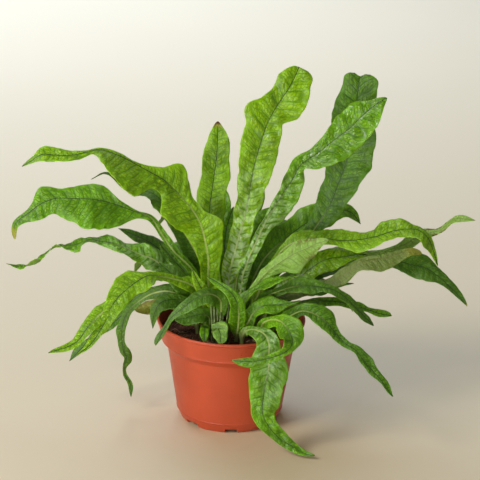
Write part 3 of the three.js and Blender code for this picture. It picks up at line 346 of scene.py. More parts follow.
def leaf_blade(name, tone, vein_depth, net_depth):
    """Living frond of a crocodile fern: a leathery blade under a thin wax, grown over a net of sunken veins.

    The eye sees a green that is yellower on the swollen cells and darker along the side veins, highlights
    broken up by the swelling, a whitish sheen painted into the colour low on the shiniest blades, a matt paler
    underside, and a thin pale rim where the blade is thinnest, partly its own colour and partly painted light
    showing through.
    """
    material, tree = new_material(name)
    at = leaf_places(tree)
    veins = leaf_veins(tree, at, vein_depth, net_depth)
    top, rib, shining = leaf_upper_face(tree, at, veins, tone)

    # Underside: paler and duller, the same net faintly, a brownish ridge along the middle.
    under = add(tree, "Mix", {
        0: add(tree, "Math", {0: veins.lines, 1: 0.85}, operation="MULTIPLY"),
        6: (tone[0] + 0.012, tone[1] * 0.96 + 0.02, tone[2] + 0.012, 1),
        7: rgba(tone, 0.42),
    }, data_type="RGBA")
    under = add(tree, "Mix", {
        0: add(tree, "Math", {0: rib, 1: 0.5}, operation="MULTIPLY"),
        6: under,
        7: rgba(linear("#6F6C3C")),
    }, data_type="RGBA")
    faces_up = add(tree, "MapRange", {0: at.side, 1: -0.2, 2: 0.2}, **SOFT)
    both = add(tree, "Mix", {0: faces_up, 6: under, 7: top}, data_type="RGBA")

    # A darker band inside the margin, the pale rim on it, partly its own colour and partly painted light showing
    # through the thin margin, the brown foot of the stem, and yellow where it ages.
    for value, none, full, share, tint in (
        (at.margin, 0.7, 0.93, 0.2, (tone[0] * 0.5, tone[1] * 0.8, tone[2] * 1.3, 1)),
        (at.margin, 0.95, 1.0, 0.5, (tone[0] * 1.8, tone[1] * 1.4, tone[2] * 1.5, 1)),
        (at.along, 0.14, 0.02, 0.7, rgba(linear("#7C814B"))),
        (at.age, 0.1, 0.6, 1.0, rgba(linear("#959527"))),
    ):
        both = add(tree, "Mix", {
            0: add(tree, "MapRange", {0: value, 1: none, 2: full, 4: share}, **SOFT),
            6: both,
            7: tint,
        }, data_type="RGBA")

    # Dry brown comes last, in blotches where the blade only begins to dry.
    blotch = add(tree, "TexNoise", {"Vector": at.blade, "Scale": DRY_BLOTCHES / 100, "Detail": 3.0})
    spotted = add(tree, "Math", {
        0: add(tree, "MapRange", {0: blotch, 1: 0.38, 2: 0.56}, **SOFT),
        1: at.brown,
    }, operation="MULTIPLY")
    dry = add(tree, "Math", {
        0: add(tree, "MapRange", {0: at.age, 1: 0.6, 2: 0.85}, **SOFT),
        1: spotted,
    }, operation="MAXIMUM")
    both = add(tree, "Mix", {0: dry, 6: both, 7: rgba(linear("#613F1F"))}, data_type="RGBA")

    # Finish: waxy on top, matt below, both duller where the blade is dry.
    sheen = add(tree, "TexNoise", {"Vector": at.blade, "Scale": SHEEN_PATCHES / 100, "Detail": 3.0})
    waxy = add(tree, "MapRange", {0: sheen, 1: 0.38, 2: 0.6, 3: 0.2, 4: 0.34}, **SOFT)
    waxy = add(tree, "Mix", {0: shining, 2: 0.42, 3: waxy}, data_type="FLOAT")
    gloss = add(tree, "Mix", {0: faces_up, 2: 0.5, 3: waxy}, data_type="FLOAT")
    gloss = add(tree, "Mix", {0: dry, 2: gloss, 3: 0.8}, data_type="FLOAT")

    # Relief in millimetres: cells stand proud and the lines of the net sink between them.
    swell = add(tree, "Math", {0: veins.swollen, 1: 0.2}, operation="MULTIPLY")
    sunk = add(tree, "Math", {0: veins.lines, 1: -0.3, 2: swell}, operation="MULTIPLY_ADD")
    grain = add(tree, "TexNoise", {"Vector": at.blade, "Scale": SKIN_GRAINS / 100, "Detail": 2.0})
    height = add(tree, "Math", {0: grain, 1: 0.1, 2: sunk}, operation="MULTIPLY_ADD")
    add(tree, "OutputMaterial", {"Surface": add(tree, "BsdfPrincipled", {
        "Base Color": both,
        "Roughness": gloss,
        "IOR": 1.45,
        "Subsurface Weight": 0.15,
        "Subsurface Radius": (0.45, 1.0, 0.12),
        "Subsurface Scale": 1.0 * MM,
        "Normal": add(tree, "Bump", {"Height": height, "Distance": MM, "Strength": 1.0}),
    })})
    return material


# Each frond as in the solid model: tone, foot on the peat, the points its midrib passes, which way its face
# looks from stem to tip, half widths left and right of the midrib at even steps, and wave = (height, waves, phase).
FRONDS = (
    dict(
        name="frond_left_upper", tone="green", foot=(-17, -8), wave=(2.5, 5, 0.1), fold=0.12,
        through=(
            (-26, -14, 158), (-26, -18, 187), (-30, -21, 213), (-37, -25, 237), (-50, -29, 257), (-64, -31, 273),
            (-75, -34, 284), (-88, -36, 292), (-103, -38, 301), (-115, -40, 308), (-131, -42, 315), (-143, -43, 318),
            (-156, -44, 315), (-172, -46, 312), (-189, -46, 312), (-201, -47, 313), (-212, -47, 306),
            (-223, -47, 299),
        ),
        face=(
            (0.2, -1, 0), (0.2, -1, 0.1), (0.1, -1, 0.3), (0, -1, 0.4), (0, -0.8, 0.6), (0, -0.7, 0.7),
            (0, -0.5, 0.85), (0, -0.75, 0.6), (0, -0.75, 0.6),
        ),
        left=(2, 3, 5, 9, 8, 9, 13, 16, 19, 26, 31, 28, 14, 16, 36, 34, 33, 20, 5, 8, 8, 8, 4, 2),
        right=(2, 3, 5, 9, 10, 14, 16, 19, 25, 10, 8, 18, 27, 10, 5, 3, 4, 3, 2, 5, 7, 9, 4, 3),
    ),
    dict(
        name="frond_left_broad", tone="green", foot=(-27, 6), wave=(2.5, 4, 0.6), fold=0.05,
        through=(
            (-41, 8, 163), (-65, 11, 188), (-79, 13, 208), (-91, 14, 226), (-106, 14, 231), (-118, 13, 236),
            (-135, 12, 242), (-152, 10, 246), (-173, 9, 247), (-194, 8, 247), (-209, 5, 242), (-224, 1, 231),
            (-237, -2, 221), (-239, -3, 212), (-238, -4, 203),
        ),
        face=((0, -1, 0), (0.3, -0.9, 0.4), (0, -0.85, 0.5), (0, -0.85, 0.5), (0, -0.85, 0.5), (-0.3, -0.8, 0.4)),
        left=(2, 3, 3, 4, 6, 5, 3, 3, 3, 5, 6, 18, 28, 36, 34, 25, 21, 17, 15, 8, 5, 4),
        right=(2, 3, 3, 4, 4, 4, 5, 6, 5, 3, 2, 4, 8, 15, 17, 15, 11, 15, 6, 4, 4, 4),
    ),
    dict(
        name="frond_left_ruffled", tone="dark", foot=(-32, -1), wave=(5, 7, 0.2), fold=0,
        through=(
            (-38, -5, 144), (-59, -8, 167), (-74, -9, 176), (-88, -10, 186), (-102, -10, 191), (-116, -8, 197),
            (-132, -5, 201), (-145, 0, 201), (-157, 3, 202), (-168, 8, 195), (-182, 13, 191), (-193, 18, 189),
            (-205, 23, 181), (-216, 29, 168), (-227, 34, 160), (-241, 40, 155), (-255, 45, 157),
        ),
        face=((0, -1, 0.2), (0, -0.8, 0.6), (0, -0.5, 0.9), (0, 0, 1), (0, 0.1, 1)),
        left=(2, 3, 4, 6, 9, 7, 9, 13, 9, 12, 8, 6, 6, 13, 10, 9, 8, 10, 8, 6, 4, 2),
        right=(2, 3, 4, 6, 8, 5, 10, 14, 14, 10, 9, 8, 9, 12, 8, 6, 6, 5, 5, 5, 4, 2),
    ),
    dict(
        name="frond_left_forked", tone="green", foot=(-28, -15), wave=(3, 4, 0.3), fold=0.1,
        through=(
            (-38, -28, 158), (-58, -40, 173), (-77, -50, 180), (-89, -58, 184), (-100, -65, 180), (-110, -72, 174),
            (-120, -79, 166), (-127, -87, 157), (-131, -95, 147), (-138, -104, 136), (-147, -113, 125),
            (-161, -122, 117),
        ),
        face=((0, -1, 0.2), (0, -0.8, 0.6), (0, -0.7, 0.7), (-0.3, -0.7, 0.6)),
        left=(2, 3, 4, 5, 7, 8, 7, 5, 4, 13, 16, 11, 11, 14, 9, 5, 3, 3, 2),
        right=(2, 3, 4, 5, 7, 9, 4, 4, 5, 6, 15, 16, 13, 9, 10, 5, 5, 3, 1),
        branch=dict(
            wave=(2, 2, 0), fold=0.1,
            through=((-112, -72, 170), (-133, -88, 155), (-148, -100, 143), (-162, -112, 127), (-190, -122, 119)),
            face=((0, -0.7, 0.7), (-0.3, -0.7, 0.6)),
            left=(3, 7, 9, 8, 6, 4, 1),
            right=(3, 7, 9, 8, 6, 4, 1),
        ),
    ),
    dict(
        name="frond_left_sprout", tone="olive", foot=(-18, -24), wave=(1, 2, 0.1), fold=0.1,
        through=((-19, -31, 130), (-26, -39, 152), (-35, -43, 170), (-43, -45, 188)),
        face=((0, -1, 0), (0, -1, 0.1), (0, -1, 0.2)),
        left=(2, 2, 3, 4, 7, 5, 1),
        right=(2, 2, 3, 4, 7, 4, 1),
    ),
    dict(
        name="frond_left_hanging", tone="dark", foot=(-38, -8), wave=(2, 4, 0.5), fold=0.1,
        through=(
            (-49, -12, 137), (-68, -15, 150), (-87, -12, 146), (-104, -10, 134), (-115, -8, 121), (-120, -8, 107),
            (-121, -8, 91), (-120, -8, 79), (-116, -7, 68), (-118, -7, 58), (-118, -6, 47), (-112, -4, 35),
            (-111, -2, 17),
        ),
        face=((0, -1, 0.3), (0, -0.8, 0.6), (-0.4, -0.8, 0.3), (0.2, -1, 0), (-0.2, -1, 0)),
        left=(2, 4, 6, 7, 7, 6, 6, 4, 5, 4, 5, 4, 3, 6, 7, 2, 2, 3, 1),
        right=(2, 4, 6, 7, 7, 6, 5, 4, 4, 7, 4, 6, 5, 5, 2, 2, 3, 3, 2),
    ),
    dict(
        name="frond_left_yellow", tone="olive", foot=(-43, 1), wave=(1.5, 2, 0.5), fold=0.1,
        through=((-57, -3, 128), (-74, 0, 131), (-90, 1, 124), (-108, 2, 121)),
        face=((0, -1, 0.4), (0, -0.8, 0.7)),
        left=(2, 4, 7, 8, 8, 2),
        right=(2, 4, 7, 8, 8, 2),
    ),
    dict(
        name="frond_left_curl", tone="dark", foot=(-37, -20), wave=(1.5, 3, 0.5), fold=0.1,
        through=((-47, -28, 140), (-65, -34, 148), (-78, -37, 144), (-84, -39, 130), (-85, -40, 116)),
        face=((0, -1, 0.4), (0, -0.8, 0.7), (-0.6, -0.8, 0)),
        left=(2, 6, 11, 13, 10, 6, 1),
        right=(2, 4, 6, 7, 7, 5, 1),
    ),
    dict(
        name="frond_front_left", tone="dark", foot=(-13, -36), wave=(1.5, 3, 0.2), fold=0.15,
        through=(
            (-11, -44, 139), (-13, -52, 157), (-25, -59, 165), (-40, -64, 160), (-52, -68, 151), (-64, -71, 141),
            (-72, -74, 127), (-80, -76, 111),
        ),
        face=((0, -1, 0), (0, -0.9, 0.6), (0, -0.8, 0.7), (-0.3, -0.8, 0.6)),
        left=(2, 2, 3, 6, 11, 13, 10, 8, 5, 3, 3, 1),
        right=(2, 2, 4, 7, 9, 6, 6, 6, 4, 2, 4, 5),
    ),
    dict(
        name="frond_soil_broad", tone="dark", foot=(-24, -33), wave=(1.5, 2, 0.2), fold=0.1,
        through=((-24, -40, 130), (-31, -45, 136), (-44, -49, 134), (-61, -52, 131)),
        face=((0, -1, 0.3), (0, -0.8, 0.8), (0, -0.8, 0.8)),
        left=(2, 4, 8, 10, 9, 2),
        right=(2, 4, 8, 9, 8, 2),
    ),
    dict(
        name="frond_soil_strip", tone="green", foot=(-26, -42), wave=(1, 1, 0.2), fold=0.1,
        through=((-28, -50, 124), (-28, -60, 118), (-28, -67, 112)),
        face=((0, -1, 0.2), (0, -0.8, 0.8)),
        left=(2, 4, 5, 5, 1),
        right=(2, 4, 5, 5, 1),
    ),
    dict(
        name="frond_soil_pale", tone="pale", foot=(-14, -47), wave=(1, 2, 0.2), fold=0.1,
        through=((-14, -53, 124), (-11, -62, 119), (-10, -71, 112)),
        face=((0, -1, 0.2), (0, -0.8, 0.8)),
        left=(2, 5, 10, 8, 3),
        right=(2, 5, 8, 7, 3),
    ),
    dict(
        name="frond_front_arch", tone="green", foot=(6, -43), wave=(1, 2, 0.2), fold=0.15,
        through=((8, -49, 127), (8, -53, 142), (6, -56, 155), (-1, -57, 167), (-12, -53, 174), (-27, -48, 181)),
        face=((0, -1, 0.1), (0.2, -1, 0.2), (0.2, -0.9, 0.4)),
        left=(2, 7, 11, 11, 8, 7, 6, 4, 1),
        right=(2, 7, 8, 7, 8, 5, 3, 2, 1),
    ),
    dict(
        name="frond_upright_left", tone="green", foot=(-12, 12), wave=(2, 4, 0.2), fold=0.08,
        through=(
            (-20, 16, 159), (-23, 19, 188), (-26, 22, 216), (-26, 25, 238), (-24, 27, 255), (-22, 30, 271),
            (-20, 32, 288), (-19, 35, 310), (-19, 38, 330),
        ),
        face=((0, -1, 0), (-0.1, -1, 0.1), (0.1, -1, 0.2)),
        left=(2, 3, 5, 7, 8, 9, 11, 13, 15, 15, 15, 14, 11, 5),
        right=(2, 3, 5, 7, 9, 11, 15, 16, 17, 17, 16, 15, 11, 5),
    ),
    dict(
        name="frond_upright_centre", tone="green", foot=(-1, 0), wave=(2.5, 6, 0.4), fold=0.1,
        through=(
            (-3, -2, 166), (1, -3, 186), (7, -5, 214), (12, -6, 235), (16, -6, 255), (18, -5, 271), (21, -4, 290),
            (25, -3, 308), (29, -1, 322), (34, 2, 337), (39, 4, 348), (48, 7, 363), (56, 9, 375), (61, 12, 384),
            (67, 15, 398),
        ),
        face=((0, -1, 0), (-0.1, -1, 0.1), (0.1, -1, 0.2), (0, -1, 0.3)),
        left=(2, 3, 4, 6, 9, 11, 9, 11, 12, 12, 15, 14, 20, 20, 22, 30, 18, 16, 16, 16),
        right=(2, 3, 4, 6, 10, 12, 15, 13, 11, 16, 15, 21, 20, 22, 19, 15, 28, 24, 24, 30),
    ),
    dict(
        name="frond_right_tall", tone="green", foot=(10, -9), wave=(2.5, 5, 0.3), fold=0.08,
        through=(
            (11, -12, 164), (19, -15, 194), (28, -17, 217), (40, -18, 244), (53, -18, 267), (64, -18, 285),
            (71, -17, 299), (81, -16, 306), (93, -15, 315), (107, -14, 327), (122, -13, 339), (135, -12, 353),
            (148, -12, 365), (160, -12, 373),
        ),
        face=((0, -1, 0), (0.2, -1, 0.1), (0.3, -1, 0.1), (-0.3, -0.9, 0.4), (-0.3, -0.9, 0.4)),
        left=(2, 3, 3, 4, 6, 4, 5, 5, 4, 5, 5, 11, 10, 8, 11, 14, 18, 21, 8, 5),
        right=(2, 3, 4, 5, 7, 7, 7, 9, 16, 17, 19, 14, 6, 17, 21, 24, 24, 20, 17, 5),
    ),
    dict(
        name="frond_right_tall_back", tone="green", foot=(19, 7), wave=(2.5, 6, 0.1), fold=0.08,
        through=(
            (43, 13, 163), (66, 17, 184), (83, 20, 204), (96, 23, 223), (107, 26, 242), (114, 29, 262),
            (120, 32, 279), (126, 34, 302), (131, 36, 326), (132, 39, 357), (134, 42, 383),
        ),
        face=((-0.2, -1, 0.1), (-0.3, -1, 0.3), (-0.1, -1, 0.2)),
        left=(2, 3, 4, 5, 8, 6, 8, 10, 10, 15, 15, 18, 19, 19, 23, 24, 29, 23, 20, 34),
        right=(2, 3, 4, 5, 8, 7, 8, 8, 9, 11, 17, 19, 23, 29, 25, 28, 19, 24, 22, 32),
    ),
    dict(
        name="frond_right_behind", tone="dark", foot=(11, 21), wave=(3, 4, 0.3), fold=0.1,
        through=((33, 34, 169), (57, 50, 190), (84, 62, 208), (111, 70, 219), (132, 76, 217), (145, 80, 201)),
        face=((0, -1, 0.1), (0, -0.8, 0.6), (0, -0.8, 0.6)),
        left=(2, 5, 11, 16, 17, 17, 15, 9, 1),
        right=(2, 5, 11, 15, 17, 17, 15, 9, 1),
    ),
    dict(
        name="frond_centre_behind", tone="dark", foot=(2, 15), wave=(2.5, 3, 0.3), fold=0.1,
        through=((8, 22, 170), (21, 32, 199), (35, 40, 221), (51, 46, 232)),
        face=((0, -1, 0.1), (0, -0.8, 0.5)),
        left=(2, 4, 8, 12, 14, 12, 8, 1),
        right=(2, 4, 8, 12, 14, 12, 8, 1),
    ),
    dict(
        name="frond_back_blue", tone="dark", foot=(-5, 26), wave=(2.5, 3, 0.1), fold=0.1,
        through=((-8, 34, 165), (-9, 46, 190), (-6, 56, 208), (0, 62, 225)),
        face=((0, -1, 0.1), (0, -0.8, 0.4)),
        left=(2, 4, 8, 12, 13, 12, 8, 1),
        right=(2, 4, 8, 12, 13, 12, 8, 1),
    ),
    dict(
        name="frond_right_pale", tone="pale", foot=(10, -20), wave=(2.5, 4, 0.1), fold=-0.1,
        through=(
            (17, -24, 148), (28, -28, 167), (41, -31, 184), (54, -33, 195), (66, -35, 204), (79, -37, 211),
            (91, -39, 218), (103, -41, 223),
        ),
        face=((0, -1, 0.1), (0, -1, 0.2), (0, -1, 0.2)),
        left=(2, 3, 4, 6, 4, 4, 7, 6, 7, 10, 11, 6, 3),
        right=(2, 3, 4, 6, 4, 4, 6, 11, 20, 17, 14, 6, 2),
    ),
    dict(
        name="frond_right_bright", tone="green", foot=(20, -2), wave=(3, 5, 0.4), fold=0.05,
        through=(
            (32, 0, 152), (44, -2, 179), (57, -4, 200), (77, -5, 210), (99, -6, 212), (121, -6, 210), (139, -6, 212),
            (158, -5, 216), (175, -4, 222), (193, -5, 225), (203, -7, 224), (212, -10, 217), (218, -12, 204),
            (224, -13, 186),
        ),
        face=((0, -1, 0.1), (0, -0.7, 0.7), (0, -0.6, 0.8), (0.3, -0.7, 0.7)),
        left=(2, 3, 4, 5, 5, 4, 5, 9, 12, 13, 12, 11, 9, 15, 13, 5, 5, 3, 2),
        right=(2, 3, 4, 5, 8, 11, 11, 9, 10, 8, 9, 14, 15, 11, 8, 11, 12, 5, 2),
    ),
    dict(
        name="frond_right_far", tone="pale", foot=(31, 11), wave=(2, 5, 0.4), fold=0.05,
        through=(
            (41, 16, 144), (85, 22, 169), (133, 22, 181), (169, 18, 191), (189, 16, 199), (202, 13, 209),
            (214, 10, 215), (228, 7, 221), (236, 2, 231), (242, -4, 237), (250, -9, 239), (262, -13, 239),
        ),
        face=((0, -1, 0.1), (0, -0.6, 0.8), (0, -0.7, 0.7), (0, -0.75, 0.65), (0, -0.75, 0.65)),
        left=(2, 3, 4, 4, 4, 5, 5, 5, 9, 5, 3, 4, 7, 8, 3, 3, 5, 2),
        right=(2, 3, 4, 9, 12, 14, 11, 9, 7, 8, 6, 7, 9, 5, 4, 3, 4, 1),
    ),
    dict(
        name="frond_right_olive", tone="olive", foot=(27, -12), wave=(2, 4, 0.1), fold=0.05,
        through=(
            (43, -16, 142), (79, -20, 156), (111, -26, 171), (125, -28, 181), (138, -29, 192), (152, -29, 196),
            (167, -28, 199), (181, -26, 204), (193, -25, 207), (205, -24, 203),
        ),
        face=((0, -1, 0.1), (0, -0.6, 0.8), (0, -0.7, 0.7), (0, -0.75, 0.65), (0, -0.75, 0.65)),
        left=(2, 3, 4, 6, 4, 5, 5, 5, 8, 6, 7, 4, 5, 4, 5),
        right=(2, 3, 4, 6, 8, 6, 6, 6, 9, 7, 10, 14, 10, 6, 4),
    ),
    dict(
        name="frond_right_droop", tone="dark", foot=(34, 17), wave=(2, 4, 0.3), fold=0.05,
        through=(
            (38, 19, 128), (65, 26, 149), (119, 36, 168), (159, 36, 176), (187, 32, 174), (202, 29, 171),
            (215, 25, 170), (229, 20, 162), (242, 12, 153), (252, 5, 144), (261, -1, 135),
        ),
        face=((0, -1, 0.1), (0, -0.6, 0.8), (0, -0.7, 0.7), (0, -0.75, 0.65), (0, -0.75, 0.65)),
        left=(2, 3, 4, 5, 4, 6, 8, 8, 9, 11, 13, 17, 9, 7, 6, 3),
        right=(2, 3, 4, 9, 12, 12, 11, 11, 10, 8, 12, 14, 13, 6, 3, 1),
    ),
    dict(
        name="frond_right_gloss", tone="green", foot=(36, 2), wave=(2, 3, 0.2), fold=0.08,
        through=(
            (49, 2, 141), (70, 3, 159), (88, 5, 174), (102, 7, 183), (119, 8, 186), (135, 8, 189), (147, 6, 191),
        ),
        face=((0, -1, 0.1), (0, -0.6, 0.8), (0, -0.7, 0.7)),
        left=(2, 4, 6, 9, 9, 9, 11, 14, 8, 2),
        right=(2, 4, 6, 8, 5, 14, 15, 13, 7, 2),
    ),
    dict(
        name="frond_right_dark", tone="dark", foot=(22, -25), wave=(1.5, 4, 0.1), fold=0.05,
        through=(
            (33, -32, 148), (53, -37, 162), (74, -42, 170), (93, -44, 170), (109, -46, 168), (122, -46, 160),
            (135, -45, 147), (146, -44, 135), (155, -43, 126),
        ),
        face=((0, -1, 0.1), (0, -0.6, 0.8), (0, -0.6, 0.8), (0.4, -0.6, 0.5)),
        left=(2, 4, 5, 6, 5, 7, 11, 10, 6, 5, 5, 5, 5, 3),
        right=(2, 4, 5, 6, 5, 5, 9, 9, 6, 7, 5, 5, 5, 2),
    ),
    dict(
        name="frond_right_dark_tip", tone="dark", foot=(22, 24), wave=(3, 3, 0.1), fold=0.05,
        through=((38, 28, 124), (58, 24, 133), (80, 8, 143), (105, 0, 154), (134, -6, 161)),
        face=((0, -1, 0.1), (0, -0.3, 1), (0, -0.3, 1)),
        left=(2, 4, 8, 12, 13, 11, 7, 1),
        right=(2, 4, 8, 12, 13, 11, 7, 1),
    ),
    dict(
        name="frond_right_yellow", tone="olive", foot=(35, -18), wave=(1.5, 4, 0.1), fold=0.05,
        through=(
            (47, -22, 129), (72, -20, 140), (96, -19, 144), (117, -17, 143), (132, -16, 139), (148, -14, 134),
            (162, -13, 129), (177, -12, 126),
        ),
        face=((0, -1, 0.1), (0, -0.6, 0.8), (0, -0.7, 0.7), (0, -0.7, 0.7)),
        left=(2, 4, 5, 6, 4, 4, 5, 5, 5, 6, 3, 6, 5),
        right=(2, 4, 5, 9, 10, 10, 7, 5, 5, 4, 3, 4, 2),
    ),
    dict(
        name="frond_right_hanging", tone="green", foot=(29, -34), wave=(1.5, 5, 0.1), fold=0.1,
        through=(
            (47, -57, 129), (63, -71, 146), (76, -78, 155), (89, -81, 153), (100, -84, 147), (108, -87, 138),
            (115, -90, 131), (122, -94, 125), (132, -99, 121), (141, -104, 111), (151, -109, 101), (161, -113, 91),
            (167, -115, 82), (173, -118, 76),
        ),
        face=((0, -1, 0.1), (0, -0.6, 0.8), (0.3, -0.8, 0.6), (0.3, -0.9, 0.4), (0.3, -0.9, 0.4)),
        left=(2, 4, 5, 5, 7, 10, 8, 10, 12, 12, 7, 4, 4, 7, 8, 6, 5, 5, 2),
        right=(2, 4, 5, 5, 7, 11, 10, 5, 8, 11, 7, 6, 4, 3, 5, 5, 3, 2, 2),
    ),
    dict(
        name="frond_front_small", tone="green", foot=(11, -34), wave=(1.5, 3, 0.1), fold=0.1,
        through=((19, -42, 127), (25, -45, 140), (35, -47, 148), (49, -49, 150), (62, -51, 153), (75, -52, 157)),
        face=((0, -1, 0.1), (0, -0.7, 0.8), (0, -0.7, 0.8)),
        left=(2, 5, 7, 8, 11, 11, 6, 2, 1),
        right=(2, 5, 7, 6, 8, 12, 8, 3, 1),
    ),
    dict(
        name="frond_right_ruffled", tone="green", foot=(-3, -28), wave=(2.5, 3, 0.1), fold=0.1,
        through=((12, -34, 149), (28, -40, 165), (46, -46, 176), (70, -54, 186)),
        face=((0, -1, 0.1), (0, -0.3, 1), (0, -0.1, 1)),
        left=(2, 4, 7, 9, 10, 6, 1),
        right=(2, 4, 7, 9, 10, 6, 1),
    ),
    dict(
        name="frond_front_hanging", tone="green", foot=(12, -50), wave=(2.5, 4, 0.1), fold=0.08,
        through=(
            (14, -55, 119), (25, -72, 130), (36, -84, 130), (41, -90, 123), (41, -95, 111), (41, -98, 95),
            (38, -101, 79), (36, -103, 62), (36, -105, 47), (44, -107, 32), (56, -108, 19), (71, -111, 11),
            (82, -115, 6), (93, -119, 6),
        ),
        face=((0, -1, 0.1), (0, -0.6, 0.8), (0, -1, 0.2), (0, -1, 0.2), (0, -1, 0.4), (0, -0.8, 0.8)),
        left=(2, 4, 5, 6, 7, 9, 13, 19, 20, 20, 21, 18, 15, 12, 10, 9, 7, 5, 4, 2),
        right=(2, 4, 7, 9, 12, 14, 14, 17, 21, 20, 15, 14, 13, 10, 7, 6, 6, 5, 3, 2),
    ),
    dict(
        name="frond_front_folded", tone="green", foot=(33, -48), wave=(1.5, 3, 0.1), fold=0.1,
        through=(
            (34, -58, 131), (44, -72, 142), (54, -88, 146), (62, -103, 141), (65, -113, 134), (61, -120, 128),
            (51, -123, 123), (39, -124, 119), (26, -124, 116), (13, -123, 115), (1, -121, 115),
        ),
        face=((0, -1, 0.1), (0, -0.8, 0.6), (0, -0.95, 0.3), (0.2, -1, 0.1), (0.1, -1, 0.1), (0, -1, 0.2)),
        left=(2, 4, 5, 5, 4, 5, 10, 17, 13, 6, 4, 5, 5, 7, 6, 1),
        right=(2, 5, 8, 9, 10, 8, 11, 11, 12, 13, 5, 4, 3, 5, 3, 1),
    ),
    dict(
        name="frond_back_left_dark", tone="dark", foot=(-28, 17), wave=(2, 3, 0.1), fold=0.1,
        through=((-47, 30, 145), (-72, 42, 170), (-95, 52, 184), (-113, 58, 190), (-130, 62, 196)),
        face=((0, -1, 0.1), (0, -0.6, 0.8), (0, -0.6, 0.8)),
        left=(2, 4, 7, 9, 10, 9, 6, 1),
        right=(2, 4, 7, 9, 10, 9, 6, 1),
    ),
    dict(
        name="frond_back_left_high", tone="dark", foot=(-17, 22), wave=(2, 3, 0.1), fold=0.1,
        through=(
            (-36, 34, 168), (-56, 46, 199), (-73, 54, 220), (-86, 60, 235), (-98, 62, 240), (-109, 63, 238),
            (-122, 64, 243), (-143, 68, 259), (-161, 72, 250),
        ),
        face=((0, -1, 0.1), (0, -0.9, 0.5), (0, -0.4, 0.9), (0, -0.2, 0.9)),
        left=(2, 4, 8, 12, 13, 12, 9, 13, 10, 3, 2, 1),
        right=(2, 4, 7, 10, 12, 12, 9, 10, 8, 3, 2, 1),
    ),
    dict(
        name="frond_left_dark", tone="dark", foot=(-20, 15), wave=(2, 3, 0.1), fold=0.1,
        through=((-38, 19, 143), (-54, 24, 160), (-68, 28, 174), (-82, 32, 190)),
        face=((0, -1, 0.1), (0, -0.8, 0.6)),
        left=(2, 4, 8, 12, 13, 9, 1),
        right=(2, 4, 8, 12, 13, 9, 1),
    ),
    dict(
        name="frond_back_centre", tone="green", foot=(-3, 38), wave=(3, 4, 0.1), fold=0.1,
        through=((-4, 58, 146), (-4, 80, 174), (-6, 100, 176), (-10, 117, 158), (-12, 127, 134)),
        face=((0, -1, 0.1), (0, -0.4, 1), (0, 0.3, 1), (0, 0.9, 0.5)),
        left=(2, 4, 8, 13, 16, 17, 15, 9, 1),
        right=(2, 4, 8, 13, 16, 17, 15, 9, 1),
    ),
    dict(
        name="frond_back_left", tone="green", foot=(-17, 34), wave=(3, 4, 0.4), fold=0.1,
        through=((-32, 54, 140), (-58, 80, 160), (-84, 102, 158), (-105, 118, 140), (-116, 129, 118)),
        face=((0, -1, 0.1), (0, 0, 1), (-0.3, 0.3, 1), (-0.5, 0.6, 0.6)),
        left=(2, 4, 8, 12, 15, 15, 13, 8, 1),
        right=(2, 4, 8, 12, 15, 15, 13, 8, 1),
    ),
    dict(
        name="frond_back_right", tone="green", foot=(17, 33), wave=(3, 4, 0.7), fold=0.1,
        through=((38, 56, 140), (70, 82, 160), (98, 104, 158), (121, 119, 138), (134, 127, 116)),
        face=((0, -1, 0.1), (0, 0, 1), (0.3, 0.3, 1), (0.5, 0.6, 0.6)),
        left=(2, 4, 8, 13, 16, 16, 14, 8, 1),
        right=(2, 4, 8, 13, 16, 16, 14, 8, 1),
    ),
    dict(
        name="frond_back_left_low", tone="dark", foot=(-31, 27), wave=(2, 3, 0.2), fold=0.1,
        through=((-46, 46, 126), (-70, 66, 134), (-94, 84, 126), (-110, 96, 104), (-116, 102, 84)),
        face=((0, -1, 0.1), (0, 0, 1), (-0.3, 0.3, 1), (-0.8, 0.4, 0.4)),
        left=(2, 4, 8, 11, 12, 10, 6, 1),
        right=(2, 4, 8, 11, 12, 10, 6, 1),
    ),
    dict(
        name="frond_back_right_low", tone="dark", foot=(32, 29), wave=(2, 3, 0.2), fold=0.1,
        through=((52, 48, 128), (84, 70, 136), (114, 88, 124), (134, 100, 102), (142, 106, 84)),
        face=((0, -1, 0.1), (0, 0, 1), (0.3, 0.3, 1), (0.8, 0.4, 0.4)),
        left=(2, 4, 8, 11, 12, 10, 6, 1),
        right=(2, 4, 8, 11, 12, 10, 6, 1),
    ),
    dict(
        name="frond_back_low", tone="dark", foot=(8, 46), wave=(2, 3, 0.2), fold=0.1,
        through=((12, 62, 126), (20, 88, 128), (26, 108, 108), (28, 118, 84)),
        face=((0, -1, 0.1), (0, 0, 1), (0, 0.7, 0.7), (0, 1, 0)),
        left=(2, 4, 8, 11, 12, 10, 6, 1),
        right=(2, 4, 8, 11, 12, 10, 6, 1),
    ),
    dict(
        name="frond_mid_left_low", tone="dark", foot=(-35, 12), wave=(2, 4, 0.6), fold=0.1,
        through=(
            (-52, 14, 135), (-69, 16, 143), (-82, 16, 141), (-96, 16, 135), (-109, 14, 126), (-122, 10, 111),
            (-137, 4, 99), (-152, -4, 89), (-165, -10, 79), (-179, -16, 65),
        ),
        face=((0, -1, 0.3), (0, -0.8, 0.7), (0, -0.7, 0.8), (-0.2, -0.8, 0.6)),
        left=(2, 3, 5, 8, 5, 5, 5, 3, 6, 3, 6, 4, 1),
        right=(2, 3, 5, 4, 4, 7, 11, 13, 12, 9, 4, 7, 1),
    ),
    dict(
        name="frond_mid_back_left", tone="green", foot=(-14, 27), wave=(3, 4, 0.2), fold=0.1,
        through=((-27, 44, 158), (-42, 66, 192), (-58, 88, 206), (-76, 108, 198), (-88, 122, 180)),
        face=((0, -1, 0.1), (0, -0.7, 0.7), (-0.2, 0, 1), (-0.4, 0.6, 0.7)),
        left=(2, 4, 8, 13, 16, 17, 15, 9, 1),
        right=(2, 4, 8, 13, 16, 17, 15, 9, 1),
    ),
    dict(
        name="frond_mid_back_right", tone="green", foot=(12, 25), wave=(3, 4, 0.8), fold=0.1,
